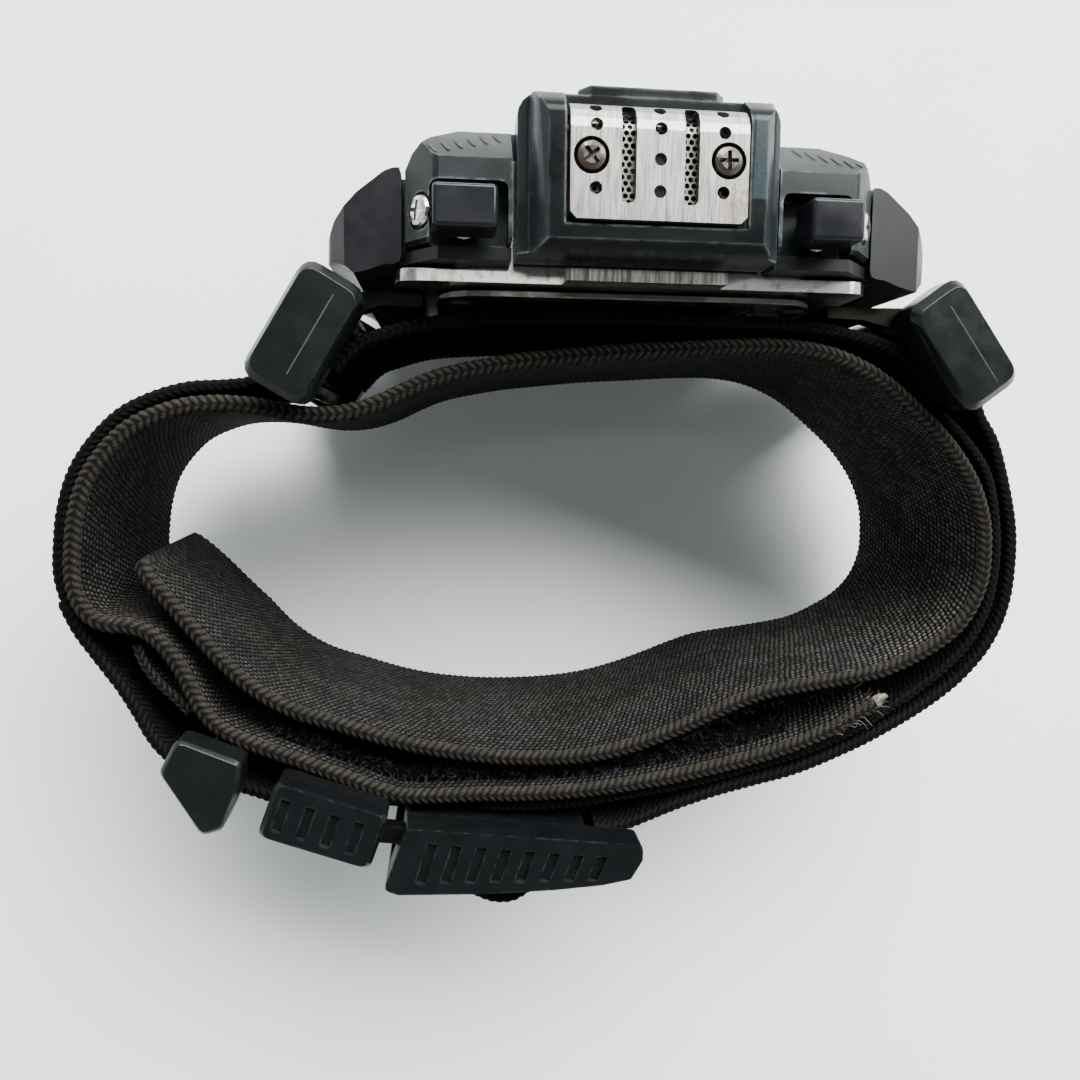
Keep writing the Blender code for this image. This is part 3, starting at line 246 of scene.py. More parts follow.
def plastic(name, colour, roughness, grain, depth, rub):
    """Moulded plastic with a fine grain, faint scratches and rubbed edges."""
    worn = (0.045, 0.05, 0.052)
    shade = Shade(name, colour, roughness)
    shade.set("Specular IOR Level", 0.2)
    cloud = shade.noise(0.4, 4)
    fine = shade.noise(grain, 3)
    scratch = shade.noise(1.0, 5, 0.6, shade.place((2.2, 0.25, 1.0), (0, 0, 0.7)))
    line = shade.span(scratch, 0.68, 0.74, 0, 0.3)
    lighter = tuple(1.25 * c for c in colour)
    tone = shade.mix(shade.span(cloud, 0.2, 0.85), colour, lighter)
    tone = shade.mix(line, tone, worn)
    patchy = shade.span(shade.noise(1.1, 5), 0.4, 0.66, 0, rub)
    wear = shade.times(shade.edges(0.35), patchy)
    tone = shade.mix(wear, tone, worn)
    shade.set("Base Color", tone)
    shade.set("Roughness", shade.span(cloud, 0.3, 0.75, roughness - 0.05, roughness + 0.08))
    shade.set("Normal", shade.bump(fine, depth, 0.6))
    return shade.material


def brushed(name, colour, roughness, scale, grime):
    """Brushed steel; scale is small along the brushing and large across it."""
    shade = Shade(name, colour, roughness, 1.0)
    lines = shade.noise(1.0, 4, 0.7, shade.place(scale))
    cloud = shade.noise(0.45, 4)
    dark = tuple(0.62 * c for c in colour)
    tone = shade.mix(shade.span(lines, 0.3, 0.7), dark, colour)
    stain = shade.times(shade.span(shade.noise(1.3, 5), 0.5, 0.7), grime)
    tone = shade.mix(stain, tone, (0.16, 0.105, 0.055))
    shade.set("Base Color", tone)
    shade.set("Roughness", shade.span(cloud, 0.3, 0.7, roughness - 0.06, roughness + 0.08))
    shade.set("Normal", shade.bump(lines, 0.015, 0.35))
    return shade.material


def case_steel():
    """Polished flange; its raised middle step is brushed upright and duller."""
    shade = Shade("case_steel", (0.72, 0.70, 0.66), 0.2, 1.0)
    lines = shade.noise(1.0, 4, 0.7, shade.place((3.5, 0.2, 0.2)))
    _, _, z = shade.split(shade.place())
    step = shade.span(z, CASE_STEP_Z - STEP_FADE_START, CASE_STEP_Z - STEP_FADE_END)
    brushing = shade.mix(shade.span(lines, 0.35, 0.65), (0.18, 0.17, 0.155), (0.72, 0.70, 0.65))
    grime = shade.span(shade.noise(1.3, 5), 0.5, 0.7, 0, 0.6)
    polish = shade.mix(grime, (0.72, 0.70, 0.66), (0.30, 0.23, 0.15))
    shade.set("Base Color", shade.mix(step, polish, brushing))
    shade.set("Roughness", shade.span(step, 0, 1, 0.22, 0.42))
    shade.set("Normal", shade.bump(lines, 0.01, 0.3))
    return shade.material


# The stain's middle, in from the plate's right edge and up from its bottom, and its reach.
STAIN_IN = 0.3
STAIN_UP = 2.2
STAIN_REACH = 2.4
STAIN_STRETCH = 0.35


def plate_steel():
    """The sensor plate: brushed across the band, stained at its lower right."""
    shade = Shade("plate_steel", (0.62, 0.61, 0.58), 0.36, 1.0)
    lines = shade.noise(1.0, 4, 0.75, shade.place((9.0, 0.35, 0.35), (0, 0, -HEAD_LEAN)))
    tone = shade.mix(shade.span(lines, 0.3, 0.7), (0.155, 0.152, 0.143), (0.345, 0.338, 0.318))
    low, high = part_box("sensor_grille_plate")
    x, y, _ = shade.split(shade.place())
    away_x = shade.math("SUBTRACT", high.x / MM - STAIN_IN, x)
    away_y = shade.math("SUBTRACT", y, low.y / MM + STAIN_UP)
    reach = shade.math("SQRT", shade.math(
        "ADD",
        shade.math("POWER", away_x, 2.0),
        shade.times(shade.math("POWER", away_y, 2.0), STAIN_STRETCH),
    ))
    spots = shade.span(shade.noise(3.2, 5), 0.42, 0.62)
    stain = shade.times(shade.span(reach, 0.5, STAIN_REACH, 1, 0), spots)
    tone = shade.mix(stain, tone, (0.20, 0.155, 0.10))
    patchy = shade.span(shade.noise(2.2, 4), 0.45, 0.6)
    edge = shade.times(shade.edges(0.3, 0.03, 0.4), patchy)
    tone = shade.mix(shade.times(edge, 0.45), tone, (0.27, 0.22, 0.16))
    shade.set("Base Color", tone)
    shade.set("Roughness", shade.span(lines, 0.3, 0.7, 0.30, 0.46))
    shade.set("Normal", shade.bump(lines, 0.018, 0.4))
    return shade.material


def plain(name, colour, roughness, metallic=0.0, grain=6.0, depth=0.01, spread=0.35):
    """A finish for inner pieces: a little grain and variation."""
    shade = Shade(name, colour, roughness, metallic)
    cloud = shade.noise(0.8, 4)
    tone = shade.mix(shade.span(cloud, 0.3, 0.7), tuple((1 - spread) * c for c in colour), colour)
    shade.set("Base Color", tone)
    shade.set("Normal", shade.bump(shade.noise(grain, 3), depth, 0.5))
    return shade.material


def clear_glass():
    shade = Shade("mineral_glass", (0.96, 0.98, 0.98), 0.03)
    shade.set("IOR", 1.5)
    shade.set("Transmission Weight", 1.0)
    smear = shade.noise(0.5, 4)
    shade.set("Roughness", shade.span(smear, 0.45, 0.8, 0.02, 0.09))
    return shade.material


# Woven materials


# The liner is painted lighter from the first to the second of these places, in millimetres along x:
# painted light, for the light that reaches the right side of the loop.
PAINTED_LIGHT_START = 22.0
PAINTED_LIGHT_END = 36.0


def weave(name, thread, gap, along, across, depth=0.22, dust=0.25,
          dust_colour=(0.2, 0.18, 0.15), painted_light=1.0):
    """Staggered woven grains from UVs in millimetres: u along the band, v round its section.

    The last argument is how much lighter the right side of the loop is painted: painted light, for
    the light that reaches that side."""
    shade = Shade(name, thread, 0.9)
    shade.set("Specular IOR Level", 0.06)
    where = shade.place(source="UV")
    u, v, _ = shade.split(where)
    drift_noise = shade.noise(0.6, 2, 0.5, where)
    wobble = shade.times(shade.math("SUBTRACT", drift_noise, 0.5), 0.7)
    row = shade.math("ADD", shade.math("DIVIDE", v, across), wobble)
    row_number = shade.math("FLOOR", row)
    grain = shade.math("MULTIPLY_ADD", row_number, 0.5, shade.math("DIVIDE", u, along))
    grain = shade.math("ADD", grain, wobble)
    fu = shade.math("SUBTRACT", shade.math("FRACT", grain), 0.5)
    fv = shade.math("SUBTRACT", shade.math("FRACT", row), 0.5)
    slant = shade.math("MULTIPLY_ADD", fv, 0.35, fu)
    ridge_u = shade.math("COSINE", shade.times(slant, math.pi), clamp=True)
    ridge_v = shade.math("COSINE", shade.times(fv, math.pi), clamp=True)
    height = shade.times(shade.math("POWER", ridge_u, 0.7), shade.math("POWER", ridge_v, 0.6))
    own = shade.tree.nodes.new("ShaderNodeTexWhiteNoise")
    own.noise_dimensions = "2D"
    ids = shade.tree.nodes.new("ShaderNodeCombineXYZ")
    shade.feed(ids, 0, shade.math("FLOOR", grain))
    shade.feed(ids, 1, row_number)
    shade.feed(own, "Vector", ids.outputs[0])
    fibre = shade.noise(6.0, 2, 0.6, shade.place((0.6, 1.6, 1), source="UV"))
    cloud = shade.noise(0.14, 4, 0.6, where)
    soft = shade.times(fibre, 0.9)
    light = shade.math("MULTIPLY_ADD", own.outputs["Value"], 0.5, soft)
    light = shade.times(light, shade.span(cloud, 0.3, 0.7, 0.7, 1.2))
    drift = shade.span(shade.noise(0.09, 3, 0.6, where), 0.35, 0.65)
    grey = sum(thread) / 3
    cool = shade.mix(shade.span(light, 0.3, 1.0), (0.48 * grey, 0.54 * grey, 0.50 * grey),
                     (1.45 * grey, 1.62 * grey, 1.50 * grey))
    warm = shade.mix(shade.span(light, 0.3, 1.0), tuple(0.5 * c for c in thread),
                     tuple(1.7 * c for c in thread))
    tone = shade.mix(drift, cool, warm)
    # Painted shade: the low ground between the grains takes the gap colour.
    tone = shade.mix(shade.span(height, 0.25, 0.85, 1, 0), tone, gap)
    speck = shade.span(shade.noise(0.5, 6, 0.75), 0.52, 0.72)
    speck = shade.times(speck, shade.span(fibre, 0.5, 0.66, 0, dust))
    tone = shade.mix(speck, tone, dust_colour)
    # Painted light: the right side of the loop is multiplied lighter along x.
    x, _, _ = shade.split(shade.place())
    lit_right_side = shade.span(x, PAINTED_LIGHT_START, PAINTED_LIGHT_END)
    tone = shade.mix(lit_right_side, tone, (painted_light, painted_light, painted_light), blend="MULTIPLY")
    shade.set("Base Color", tone)
    full = shade.math("MULTIPLY_ADD", fibre, 0.3, height)
    shade.set("Normal", shade.bump(full, depth, 1.0))
    return shade.material


def braid(name, thread, dark):
    """The stitched edge of a band; the stitches themselves are in the mesh, and the grooves between
    them are painted dark, painted shade.
    """
    shade = Shade(name, thread, 0.85)
    shade.set("Specular IOR Level", 0.06)
    stitch = shade.tree.nodes.new("ShaderNodeAttribute")
    stitch.attribute_name = "stitch"
    where = shade.place(source="UV")
    cloud = shade.noise(0.2, 4, 0.6, where)
    fibre = shade.noise(3.5, 3, 0.65, shade.place((1.0, 1.8, 1), (0, 0, 0.7), source="UV"))
    worn = shade.noise(0.9, 4, 0.7, where)
    grey = sum(thread) / 3
    tone = shade.mix(shade.span(cloud, 0.35, 0.68), thread, (0.62 * grey, 0.66 * grey, 0.60 * grey))
    tone = shade.mix(shade.span(worn, 0.3, 0.7, 0, 0.8), tone, tuple(0.45 * c for c in thread))
    tone = shade.mix(shade.span(fibre, 0.42, 0.66, 0, 0.6), tone, tuple(1.9 * c for c in thread))
    # Painted shade: the grooves between stitches take the dark colour.
    tone = shade.mix(shade.span(stitch.outputs["Fac"], 0.15, 0.75, 1, 0), tone, dark)
    shade.set("Base Color", tone)
    shade.set("Normal", shade.bump(fibre, 0.07, 0.8))
    return shade.material


def pile(name, colour, lighter):
    """Hook and loop tape: a dense, lint-catching pile."""
    shade = Shade(name, colour, 0.95)
    shade.set("Specular IOR Level", 0.03)
    fuzz = shade.noise(3.2, 5, 0.75)
    loops = shade.cells(2.6)
    tone = shade.mix(shade.span(fuzz, 0.42, 0.72), colour, lighter)
    shade.set("Base Color", tone)
    height = shade.math("ADD", fuzz, loops)
    shade.set("Normal", shade.bump(height, 0.5, 1.0))
    return shade.material


MATERIALS = {
    "bezel": bezel_paint(),
    "housing": housing_paint_painted_shade(),
    "plate": plate_steel(),
    "steel": case_steel(),
    # The case back's steel is painted dark for the dark strap it mirrors and the shade under the
    # case: painted reflection and shade; its stains are grime.
    "back": brushed("back_steel_painted_shade", (0.17, 0.16, 0.15), 0.30, (0.5, 3.0, 3.0), grime=0.5),
    "bright": brushed("small_steel", (0.66, 0.64, 0.60), 0.22, (2.0, 2.0, 2.0), grime=0.35),
    "resin": plastic("guard_resin", (0.0042, 0.0044, 0.0054), 0.40, 12.0, 0.006, 0.2),
    "ring": plastic("ring_plastic", (0.0034, 0.0044, 0.0045), 0.25, 10.0, 0.003, 0.35),
    "buckle": plastic("buckle_plastic", (0.0030, 0.0034, 0.0038), 0.25, 10.0, 0.003, 0.4),
    "button": plastic("button_plastic", (0.0060, 0.0065, 0.0082), 0.22, 10.0, 0.002, 0.4),
    "glass": clear_glass(),
    "gasket": plain("glass_gasket", (0.62, 0.63, 0.60), 0.45),
    "mask": plain("dial_print", (0.022, 0.024, 0.030), 0.4),
    "display": plain("display_film", (0.40, 0.43, 0.34), 0.35, spread=0.08),
    "frame": plain("frame_plastic", (0.05, 0.05, 0.05), 0.5),
    "board": plain("circuit_board", (0.015, 0.10, 0.05), 0.4),
    "cell": plain("cell_steel", (0.62, 0.62, 0.60), 0.25, 1.0),
    "rubber": plain("gasket_rubber", (0.012, 0.012, 0.012), 0.75),
    "sensor": plain("sensor_steel", (0.20, 0.19, 0.17), 0.36, 1.0),
    "screw": brushed("screw_steel", (0.19, 0.172, 0.15), 0.26, (2.0, 2.0, 2.0), grime=0.8),
    # The brackets and case back screws are painted near black for the shade they lie in: painted
    # shade.
    "bracket": plain("bracket_steel_painted_shade", (0.024, 0.021, 0.018), 0.5, 1.0),
    "ink": plain("display_ink", (0.012, 0.014, 0.012), 0.5),
    "mark": plain("printed_mark", (0.0012, 0.0014, 0.0014), 0.5),
    "seam": plain("moulding_seam", (0.030, 0.034, 0.035), 0.5),
    "lint": plain("lint", (0.020, 0.022, 0.026), 0.9),
    "tip": plain("melted_nylon", (0.115, 0.10, 0.074), 0.5, grain=2.0, depth=0.1, spread=0.6),
    "outer": weave("outer_weave", (0.0050, 0.0048, 0.0047), (0.0006, 0.0006, 0.0006), 0.6, 0.55,
                   0.16, 0.5, (0.018, 0.0175, 0.016)),
    "outer_edge": braid("outer_edge", (0.0048, 0.0046, 0.0043), (0.0005, 0.0005, 0.0005)),
    # The liner's right side is painted lighter: painted light.
    "liner": weave("liner_weave", (0.0245, 0.0228, 0.0196), (0.0013, 0.0013, 0.0012), 0.56, 0.72,
                   painted_light=2.1),
    "liner_edge": braid("liner_edge", (0.0215, 0.019, 0.0148), (0.0026, 0.0023, 0.0019)),
    "pile": pile("hook_tape", (0.0010, 0.0012, 0.0015), (0.0075, 0.0082, 0.0095)),
}

FINISH_OF = {
    "bezel": "bezel", "sensor_housing": "housing", "sensor_grille_plate": "plate",
    "case_middle": "steel", "case_back": "back", "case_guard": "resin",
    "lug_bracket_left": "bracket", "lug_bracket_right": "bracket",
    "spring_bar_left": "bright", "spring_bar_right": "bright",
    "sensor_screw_left": "screw", "sensor_screw_right": "screw",
    "ring_left": "ring", "ring_right": "ring", "strap_adjuster": "ring",
    "buckle_male": "buckle", "buckle_female": "buckle",
    "release_arm_near": "buckle", "release_arm_far": "buckle",
    "glass": "glass", "glass_gasket": "gasket", "dial_mask": "mask", "lcd_panel": "display",
    "module_frame": "frame", "circuit_board": "board", "battery": "cell",
    "case_back_gasket": "rubber", "sensor_mesh": "sensor", "pressure_sensor": "sensor",
    "hook_pad": "pile", "loop_pad": "pile",
}
for number in range(1, 5):
    FINISH_OF[f"bezel_screw_{number}"] = "bright"
    FINISH_OF[f"case_back_screw_{number}"] = "bracket"
    FINISH_OF[f"button_cap_{number}"] = "button"
    FINISH_OF[f"button_spring_{number}"] = "bright"

for node_name, finish_name in FINISH_OF.items():
    NODES[node_name].data.materials.clear()
    NODES[node_name].data.materials.append(MATERIALS[finish_name])

# Hard pieces whose sharp CAD edges get a small rounding, with its width in millimetres.
ROUNDED = {
    "ring_left": 0.55, "ring_right": 0.55, "strap_adjuster": 0.4, "buckle_male": 0.25,
    "release_arm_near": 0.18, "release_arm_far": 0.18, "buckle_female": 0.16,
    "case_guard": 0.15, "sensor_housing": 0.22, "bezel": 0.14, "case_middle": 0.1,
    "button_cap_1": 0.12, "button_cap_2": 0.12,
}
WELD_DISTANCE = 0.01
FLAT_ANGLE = math.radians(1.5)
SHARP_ANGLE = math.radians(35)


def round_edges(obj, width):
    """Merges the flat faces back together and rounds the sharp edges."""
    weld = obj.modifiers.new("Weld", "WELD")
    weld.merge_threshold = WELD_DISTANCE * MM
    flat = obj.modifiers.new("Flat faces", "DECIMATE")
    flat.decimate_type = "DISSOLVE"
    flat.angle_limit = FLAT_ANGLE
    bevel = obj.modifiers.new("Bevel", "BEVEL")
    bevel.width = width * MM
    bevel.segments = 2
    bevel.limit_method = "ANGLE"
    bevel.angle_limit = SHARP_ANGLE
    for face in obj.data.polygons:
        face.use_smooth = True
    normals = obj.modifiers.new("Normals", "WEIGHTED_NORMAL")
    normals.keep_sharp = True


for node_name, width in ROUNDED.items():
    round_edges(NODES[node_name], width)


# Bands


CURVE_STEPS = 12


def smooth_path(points, spacing):
    """Even points along a Catmull-Rom curve through the given ones."""
    points = [Vector(p) for p in points]
    fine = []
    count = len(points)
    for i in range(count - 1):
        p0, p1 = points[max(i - 1, 0)], points[i]
        p2, p3 = points[i + 1], points[min(i + 2, count - 1)]
        for k in range(CURVE_STEPS):
            t = k / CURVE_STEPS
            fine.append(
                0.5 * (2 * p1 + (p2 - p0) * t + (2 * p0 - 5 * p1 + 4 * p2 - p3) * t * t
                       + (3 * p1 - 3 * p2 + p3 - p0) * t ** 3)
            )
    fine.append(points[-1])
    lengths = [0.0]
    for a, b in zip(fine, fine[1:]):
        lengths.append(lengths[-1] + (b - a).length)
    total = lengths[-1]
    steps = max(2, round(total / spacing))
    result = []
    index = 0
    for k in range(steps + 1):
        want = total * k / steps
        while index < len(fine) - 2 and lengths[index + 1] < want:
            index += 1
        part = (want - lengths[index]) / (lengths[index + 1] - lengths[index])
        result.append(fine[index].lerp(fine[index + 1], part))
    return result, total


# Edge stitches, in millimetres; the slant is in stitches.
STITCH_PITCH = 0.7
STITCH_RELIEF = 0.17
STITCH_SLANT = 1.25
STITCH_REACH = 0.62

# The near edge's height above the floor at the head and at the buckle, between these two places.
STRAP_NEAR_HIGH = 31.5
STRAP_NEAR_LOW = 29.0
STRAP_SLOPE_TOP_Y = 10
STRAP_SLOPE_LENGTH = 30

LINER_WIDTH = 25.0
OUTER_WIDTH = 22.0
LINER_THICKNESS = 1.45
STRAP_THICKNESS = 1.05
PLY_THICKNESS = 0.85

# The mesh: distance between rows, width of a strip on the faces, points round each edge and
# the arc from a section's last point to its first.
ROW_SPACING = 0.16
STRIP_WIDTH = 1.6
RIM_POINTS = 10
LAST_ARC = 0.2

# How far the rounded end of the liner draws in, as a share of its corner.
CORNER_SHARE = 0.8


def strap_near_z(y):
    """The near edge of the band sinks a little towards the buckle, as in the CAD."""
    t = min(max((STRAP_SLOPE_TOP_Y - y) / STRAP_SLOPE_LENGTH, 0), 1)
    return STRAP_NEAR_HIGH + (STRAP_NEAR_LOW - STRAP_NEAR_HIGH) * t


def stitch_height(along, around, half):
    """V-shaped edge stitches: 0 between them and 1 on top."""
    side = min(abs(around) / half, 1.0)
    phase = along / STITCH_PITCH + STITCH_SLANT * side
    bump = 0.5 + 0.5 * math.cos(2 * math.pi * phase)
    groove = min(1.0, 0.4 + 2.0 * side)
    rim = 1.0 - max(0.0, side - 0.8) / 0.2
    return (bump ** 0.65) * groove * (0.4 + 0.6 * rim)


def band(name, points, width, thickness, body, cad_node, materials,
         lean=None, round_tail=0.0, near=None):
    """A woven band on edge along a path: two faces and two stitched edges."""
    path, total = smooth_path(points, ROW_SPACING)
    inset = (LINER_WIDTH - width) / 2
    across = round(width / STRIP_WIDTH)
    half_t = thickness / 2
    count = len(path)
    bm = bmesh.new()
    uv_layer = bm.loops.layers.uv.new("UVMap")
    stitch_layer = bm.verts.layers.float.new("stitch")
    rows = []
    uvs = []
    edge_arc = math.pi * half_t
    for k, point in enumerate(path):
        before, after = path[max(k - 1, 0)], path[min(k + 1, count - 1)]
        along = (after - before).normalized()
        side = Vector((-along.y, along.x))
        s = total * k / (count - 1)
        near_z = strap_near_z(point.y) - inset if near is None else near
        corner = 0.0
        over = round_tail - (total - s)
        if over > 0:
            corner = round_tail - math.sqrt(max(0.0, round_tail ** 2 - over ** 2))
        dx, dy = lean(s / total) if lean else (0.0, 0.0)
        top = near_z - half_t - corner * CORNER_SHARE
        bottom = near_z - width + half_t + corner * CORNER_SHARE
        row = []
        row_uv = []
        ring = section(top, bottom, half_t, across)
        for offset, z, arc, edge in ring:
            share = (near_z - z) / width
            place = point + Vector((dx, dy)) * share
            out = Vector((side.x * offset[0], side.y * offset[0], offset[1]))
            stitch = 1.0
            if edge is not None:
                stitch = stitch_height(s, edge, edge_arc * STITCH_REACH)
                out = out + out.normalized() * STITCH_RELIEF * (stitch - 0.5)
            co = Vector((place.x + out.x, place.y + out.y, z + out.z))
            co = (co + SHIFT) * MM
            vert = bm.verts.new(co)
            vert[stitch_layer] = stitch
            row.append(vert)
            row_uv.append((s * MM, arc * MM))
        rows.append(row)
        uvs.append(row_uv)
    size = len(rows[0])
    edge_index = [item[3] is not None for item in ring]
    total_arc = ring[-1][2] + LAST_ARC
    for k in range(count - 1):
        for j in range(size):
            n = (j + 1) % size
            face = bm.faces.new((rows[k][j], rows[k + 1][j], rows[k + 1][n], rows[k][n]))
            face.smooth = True
            face.material_index = 1 if edge_index[j] and edge_index[n] else 0
            v_next = uvs[k][n][1] if n else total_arc * MM
            values = (uvs[k][j], uvs[k + 1][j], (uvs[k + 1][n][0], v_next), (uvs[k][n][0], v_next))
            for loop, uv in zip(face.loops, values):
                loop[uv_layer].uv = uv
    bm.faces.new(rows[0])
    bm.faces.new(rows[-1])
    bmesh.ops.recalc_face_normals(bm, faces=bm.faces)
    mesh = bpy.data.meshes.new(name)
    bm.to_mesh(mesh)
    bm.free()
    obj = link_new(name, mesh)
    for material in materials:
        mesh.materials.append(MATERIALS[material])
    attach(obj, body)
    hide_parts(cad_node)
    return obj


def section(top, bottom, half_t, across):
    """The section's points in order: (offset from the centreline, z, arc length, edge distance)."""
    points = []
    arc = 0.0
    length = top - bottom
    for sign, start, end in ((1, bottom, top), (-1, top, bottom)):
        for j in range(across + 1):
            gone = length * j / across
            points.append(((sign * half_t, 0.0), start + sign * gone, arc + gone, None))
        arc += length
        for j in range(1, RIM_POINTS):
            angle = math.pi * j / RIM_POINTS
            offset = (sign * half_t * math.cos(angle), sign * half_t * math.sin(angle))
            points.append((offset, end, arc + angle * half_t, (angle - math.pi / 2) * half_t))
        arc += math.pi * half_t
    return points


LINER_PATH = [
    (30.4, -16.8), (28.9, -17.6), (26.8, -19.0), (23.0, -20.7), (19.1, -22.0),
    (15.3, -23.0), (11.4, -23.9), (7.6, -24.6), (3.8, -25.2), (0.0, -25.6), (-3.8, -25.75),
    (-7.5, -25.75), (-11.2, -25.9), (-14.4, -25.9), (-16.7, -25.3), (-19.4, -24.3),
    (-22.1, -23.3), (-24.7, -22.3), (-27.4, -21.3), (-29.6, -20.4), (-31.2, -19.4),
    (-32.3, -18.1), (-33.1, -16.6), (-33.8, -15.0), (-34.7, -13.3), (-35.8, -11.8),
    (-37.1, -10.7), (-38.7, -10.2), (-40.3, -10.1), (-41.7, -9.4), (-42.6, -8.0),
    (-43.0, -6.0), (-42.9, -3.6), (-42.5, -0.7), (-41.6, 2.2), (-40.1, 4.6), (-38.1, 6.7),
    (-35.8, 8.0), (-33.1, 8.9), (-30.3, 9.2), (-27.5, 9.1), (-24.6, 8.7), (-22.2, 8.6),
    (-19.7, 9.0), (-17.2, 9.9), (-14.7, 11.2), (-12.2, 12.3), (-8.8, 13.2), (-5.4, 13.9),
    (-2.0, 14.4), (3.3, 15.1), (8.6, 15.6), (13.9, 16.1), (18.5, 16.3), (22.2, 15.9),
    (25.1, 15.0), (28.0, 13.5), (31.4, 10.9), (34.6, 8.1), (37.2, 4.9), (38.8, 1.5),
    (39.4, -1.8), (39.4, -4.7), (38.5, -7.5), (36.7, -9.8), (34.0, -11.7), (30.7, -13.3),
    (26.8, -14.2), (22.4, -15.0), (19.1, -15.7), (16.3, -16.8), (13.0, -18.4), (9.3, -20.1),
    (5.5, -21.4), (1.7, -22.1), (-2.0, -22.3), (-5.7, -22.2), (-9.4, -21.8), (-13.1, -21.2),
    (-16.8, -20.3), (-20.3, -19.2), (-23.9, -18.1), (-26.7, -16.7), (-29.1, -14.9),
    (-31.3, -12.6), (-33.3, -10.2), (-35.0, -8.0), (-36.5, -6.2), (-37.8, -4.6),
]
UNDER_PATH = [
    (-21.2, 12.5), (-20.5, 13.3), (-19.7, 14.2), (-18.6, 15.0), (-17.1, 15.6),
    (-14.0, 16.6), (-10.6, 17.1), (-3.8, 17.65), (3.1, 18.0), (10.2, 18.2),
    (17.4, 18.3), (21.1, 18.1), (24.9, 17.55), (27.7, 16.85), (29.6, 16.0),
    (30.7, 14.9), (31.9, 13.4), (33.0, 12.2),
]
FEMALE = ((-2.0, -31.0), (0.9963, -0.0854), (0.0854, 0.9963))
LEFT_RING = ((-23.1, 15.0), (-0.875, 0.485), (-0.485, -0.875))
RIGHT_RING = ((32.98, 16.8), (0.788, 0.616), (0.616, -0.788))


def frame_point(frame_axes, a, b):
    """A point of the buckle given along the band and towards the wrist."""
    origin, along, up = frame_axes
    return (origin[0] + a * along[0] + b * up[0], origin[1] + a * along[1] + b * up[1])


def ring_point(ring, s, t):
    centre, n, d = ring
    return (centre[0] + s * n[0] + t * d[0], centre[1] + s * n[1] + t * d[1])


def offset_path(points, distance):
    """A path moved sideways; positive is to the left of the direction of travel."""
    result = []
    for i, point in enumerate(points):
        before = Vector(points[max(i - 1, 0)])
        after = Vector(points[min(i + 1, len(points) - 1)])
        along = (after - before).normalized()
        result.append((point[0] - along.y * distance, point[1] + along.x * distance))
    return result


def liner_lean(fraction):
    """The far edge leans in along the inner bottom turn and back at its tail."""
    bottom = math.exp(-((fraction - 0.835) / 0.045) ** 2)
    tail = max(0.0, (fraction - 0.965) / 0.035)
    return -1.9 * tail, 1.0 * bottom + 0.2 * tail


LEFT_AROUND = [ring_point(LEFT_RING, s, t)
               for s, t in ((-2.1, 1.7), (0.0, 1.8), (1.4, 2.2), (2.3, 3.2), (2.6, 4.6))]
BESIDE_OFFSET = 1.62
LEFT_BESIDE = list(reversed(offset_path(LINER_PATH[28:42], BESIDE_OFFSET)))[2:-2]
LEFT_PATH = LEFT_AROUND + [(-28.3, 11.2)] + LEFT_BESIDE + [
    (-44.3, -8.7), (-43.3, -11.0), (-41.8, -13.3), (-39.9, -16.1), (-38.5, -18.6),
    (-37.5, -20.6), (-36.2, -22.3), (-34.3, -23.8), (-31.8, -24.9), (-29.0, -25.7),
    (-26.5, -26.55), (-24.5, -27.2),
]
FOLD_PATH = [
    (-38.3, -12.1), (-38.0, -13.4), (-37.2, -14.9), (-36.0, -16.3), (-34.9, -17.4),
    (-33.9, -18.6),
]
RIGHT_AROUND = [ring_point(RIGHT_RING, s, t)
                for s, t in ((-1.3, 1.65), (0.3, 1.65), (1.5, 2.0), (2.1, 3.1), (1.9, 4.6),
                             (1.0, 6.1), (0.4, 7.8))]
RIGHT_OUTER_PATH = RIGHT_AROUND + [
    (39.7, 8.6), (41.3, 4.8), (42.6, 0.7), (43.1, -3.2), (43.0, -7.1), (41.9, -10.7),
    (39.9, -13.7), (37.7, -15.9), (34.8, -18.1), (31.1, -20.4), (27.2, -22.3),
    (23.3, -23.9), (19.3, -25.0), (15.4, -26.1), (11.9, -27.3), (9.2, -28.4),
    (7.0, -29.3), (5.2, -29.75), (3.6, -29.65),
]
RIGHT_INNER_PATH = [
    (33.9, 11.2), (36.6, 9.0), (39.1, 6.2), (40.45, 3.0), (41.3, -0.8), (41.5, -4.2),
    (41.1, -7.6), (39.8, -10.7), (37.8, -13.2), (35.0, -15.7), (31.7, -18.1),
    (28.0, -20.4), (23.3, -22.3), (19.2, -23.5), (15.3, -24.6), (11.5, -25.5),
    (7.7, -26.2), (3.8, -26.85), (0.1, -27.3), (-3.7, -27.45), (-7.4, -27.4),
]

LINER_TAIL_ROUND = 3.0
LINER = ("liner", "liner_edge")
OUTER = ("outer", "outer_edge")
band("liner_fabric", LINER_PATH, LINER_WIDTH, LINER_THICKNESS, "head", "liner_band", LINER,
     lean=liner_lean, round_tail=LINER_TAIL_ROUND)
band("under_case_fabric", UNDER_PATH, LINER_WIDTH, STRAP_THICKNESS, "head",
     "under_case_strap", OUTER)
fold = band("left_fold_fabric", FOLD_PATH, OUTER_WIDTH, PLY_THICKNESS, "band_left",
            "left_strap_fold", LINER)
band("left_fabric", LEFT_PATH, OUTER_WIDTH, STRAP_THICKNESS, "band_left", "left_strap", OUTER)
band("right_outer_fabric", RIGHT_OUTER_PATH, OUTER_WIDTH, STRAP_THICKNESS, "band_right",
     "right_strap_outer", OUTER)
band("right_inner_fabric", RIGHT_INNER_PATH, OUTER_WIDTH, PLY_THICKNESS, "band_right",
     "right_strap_inner", OUTER)

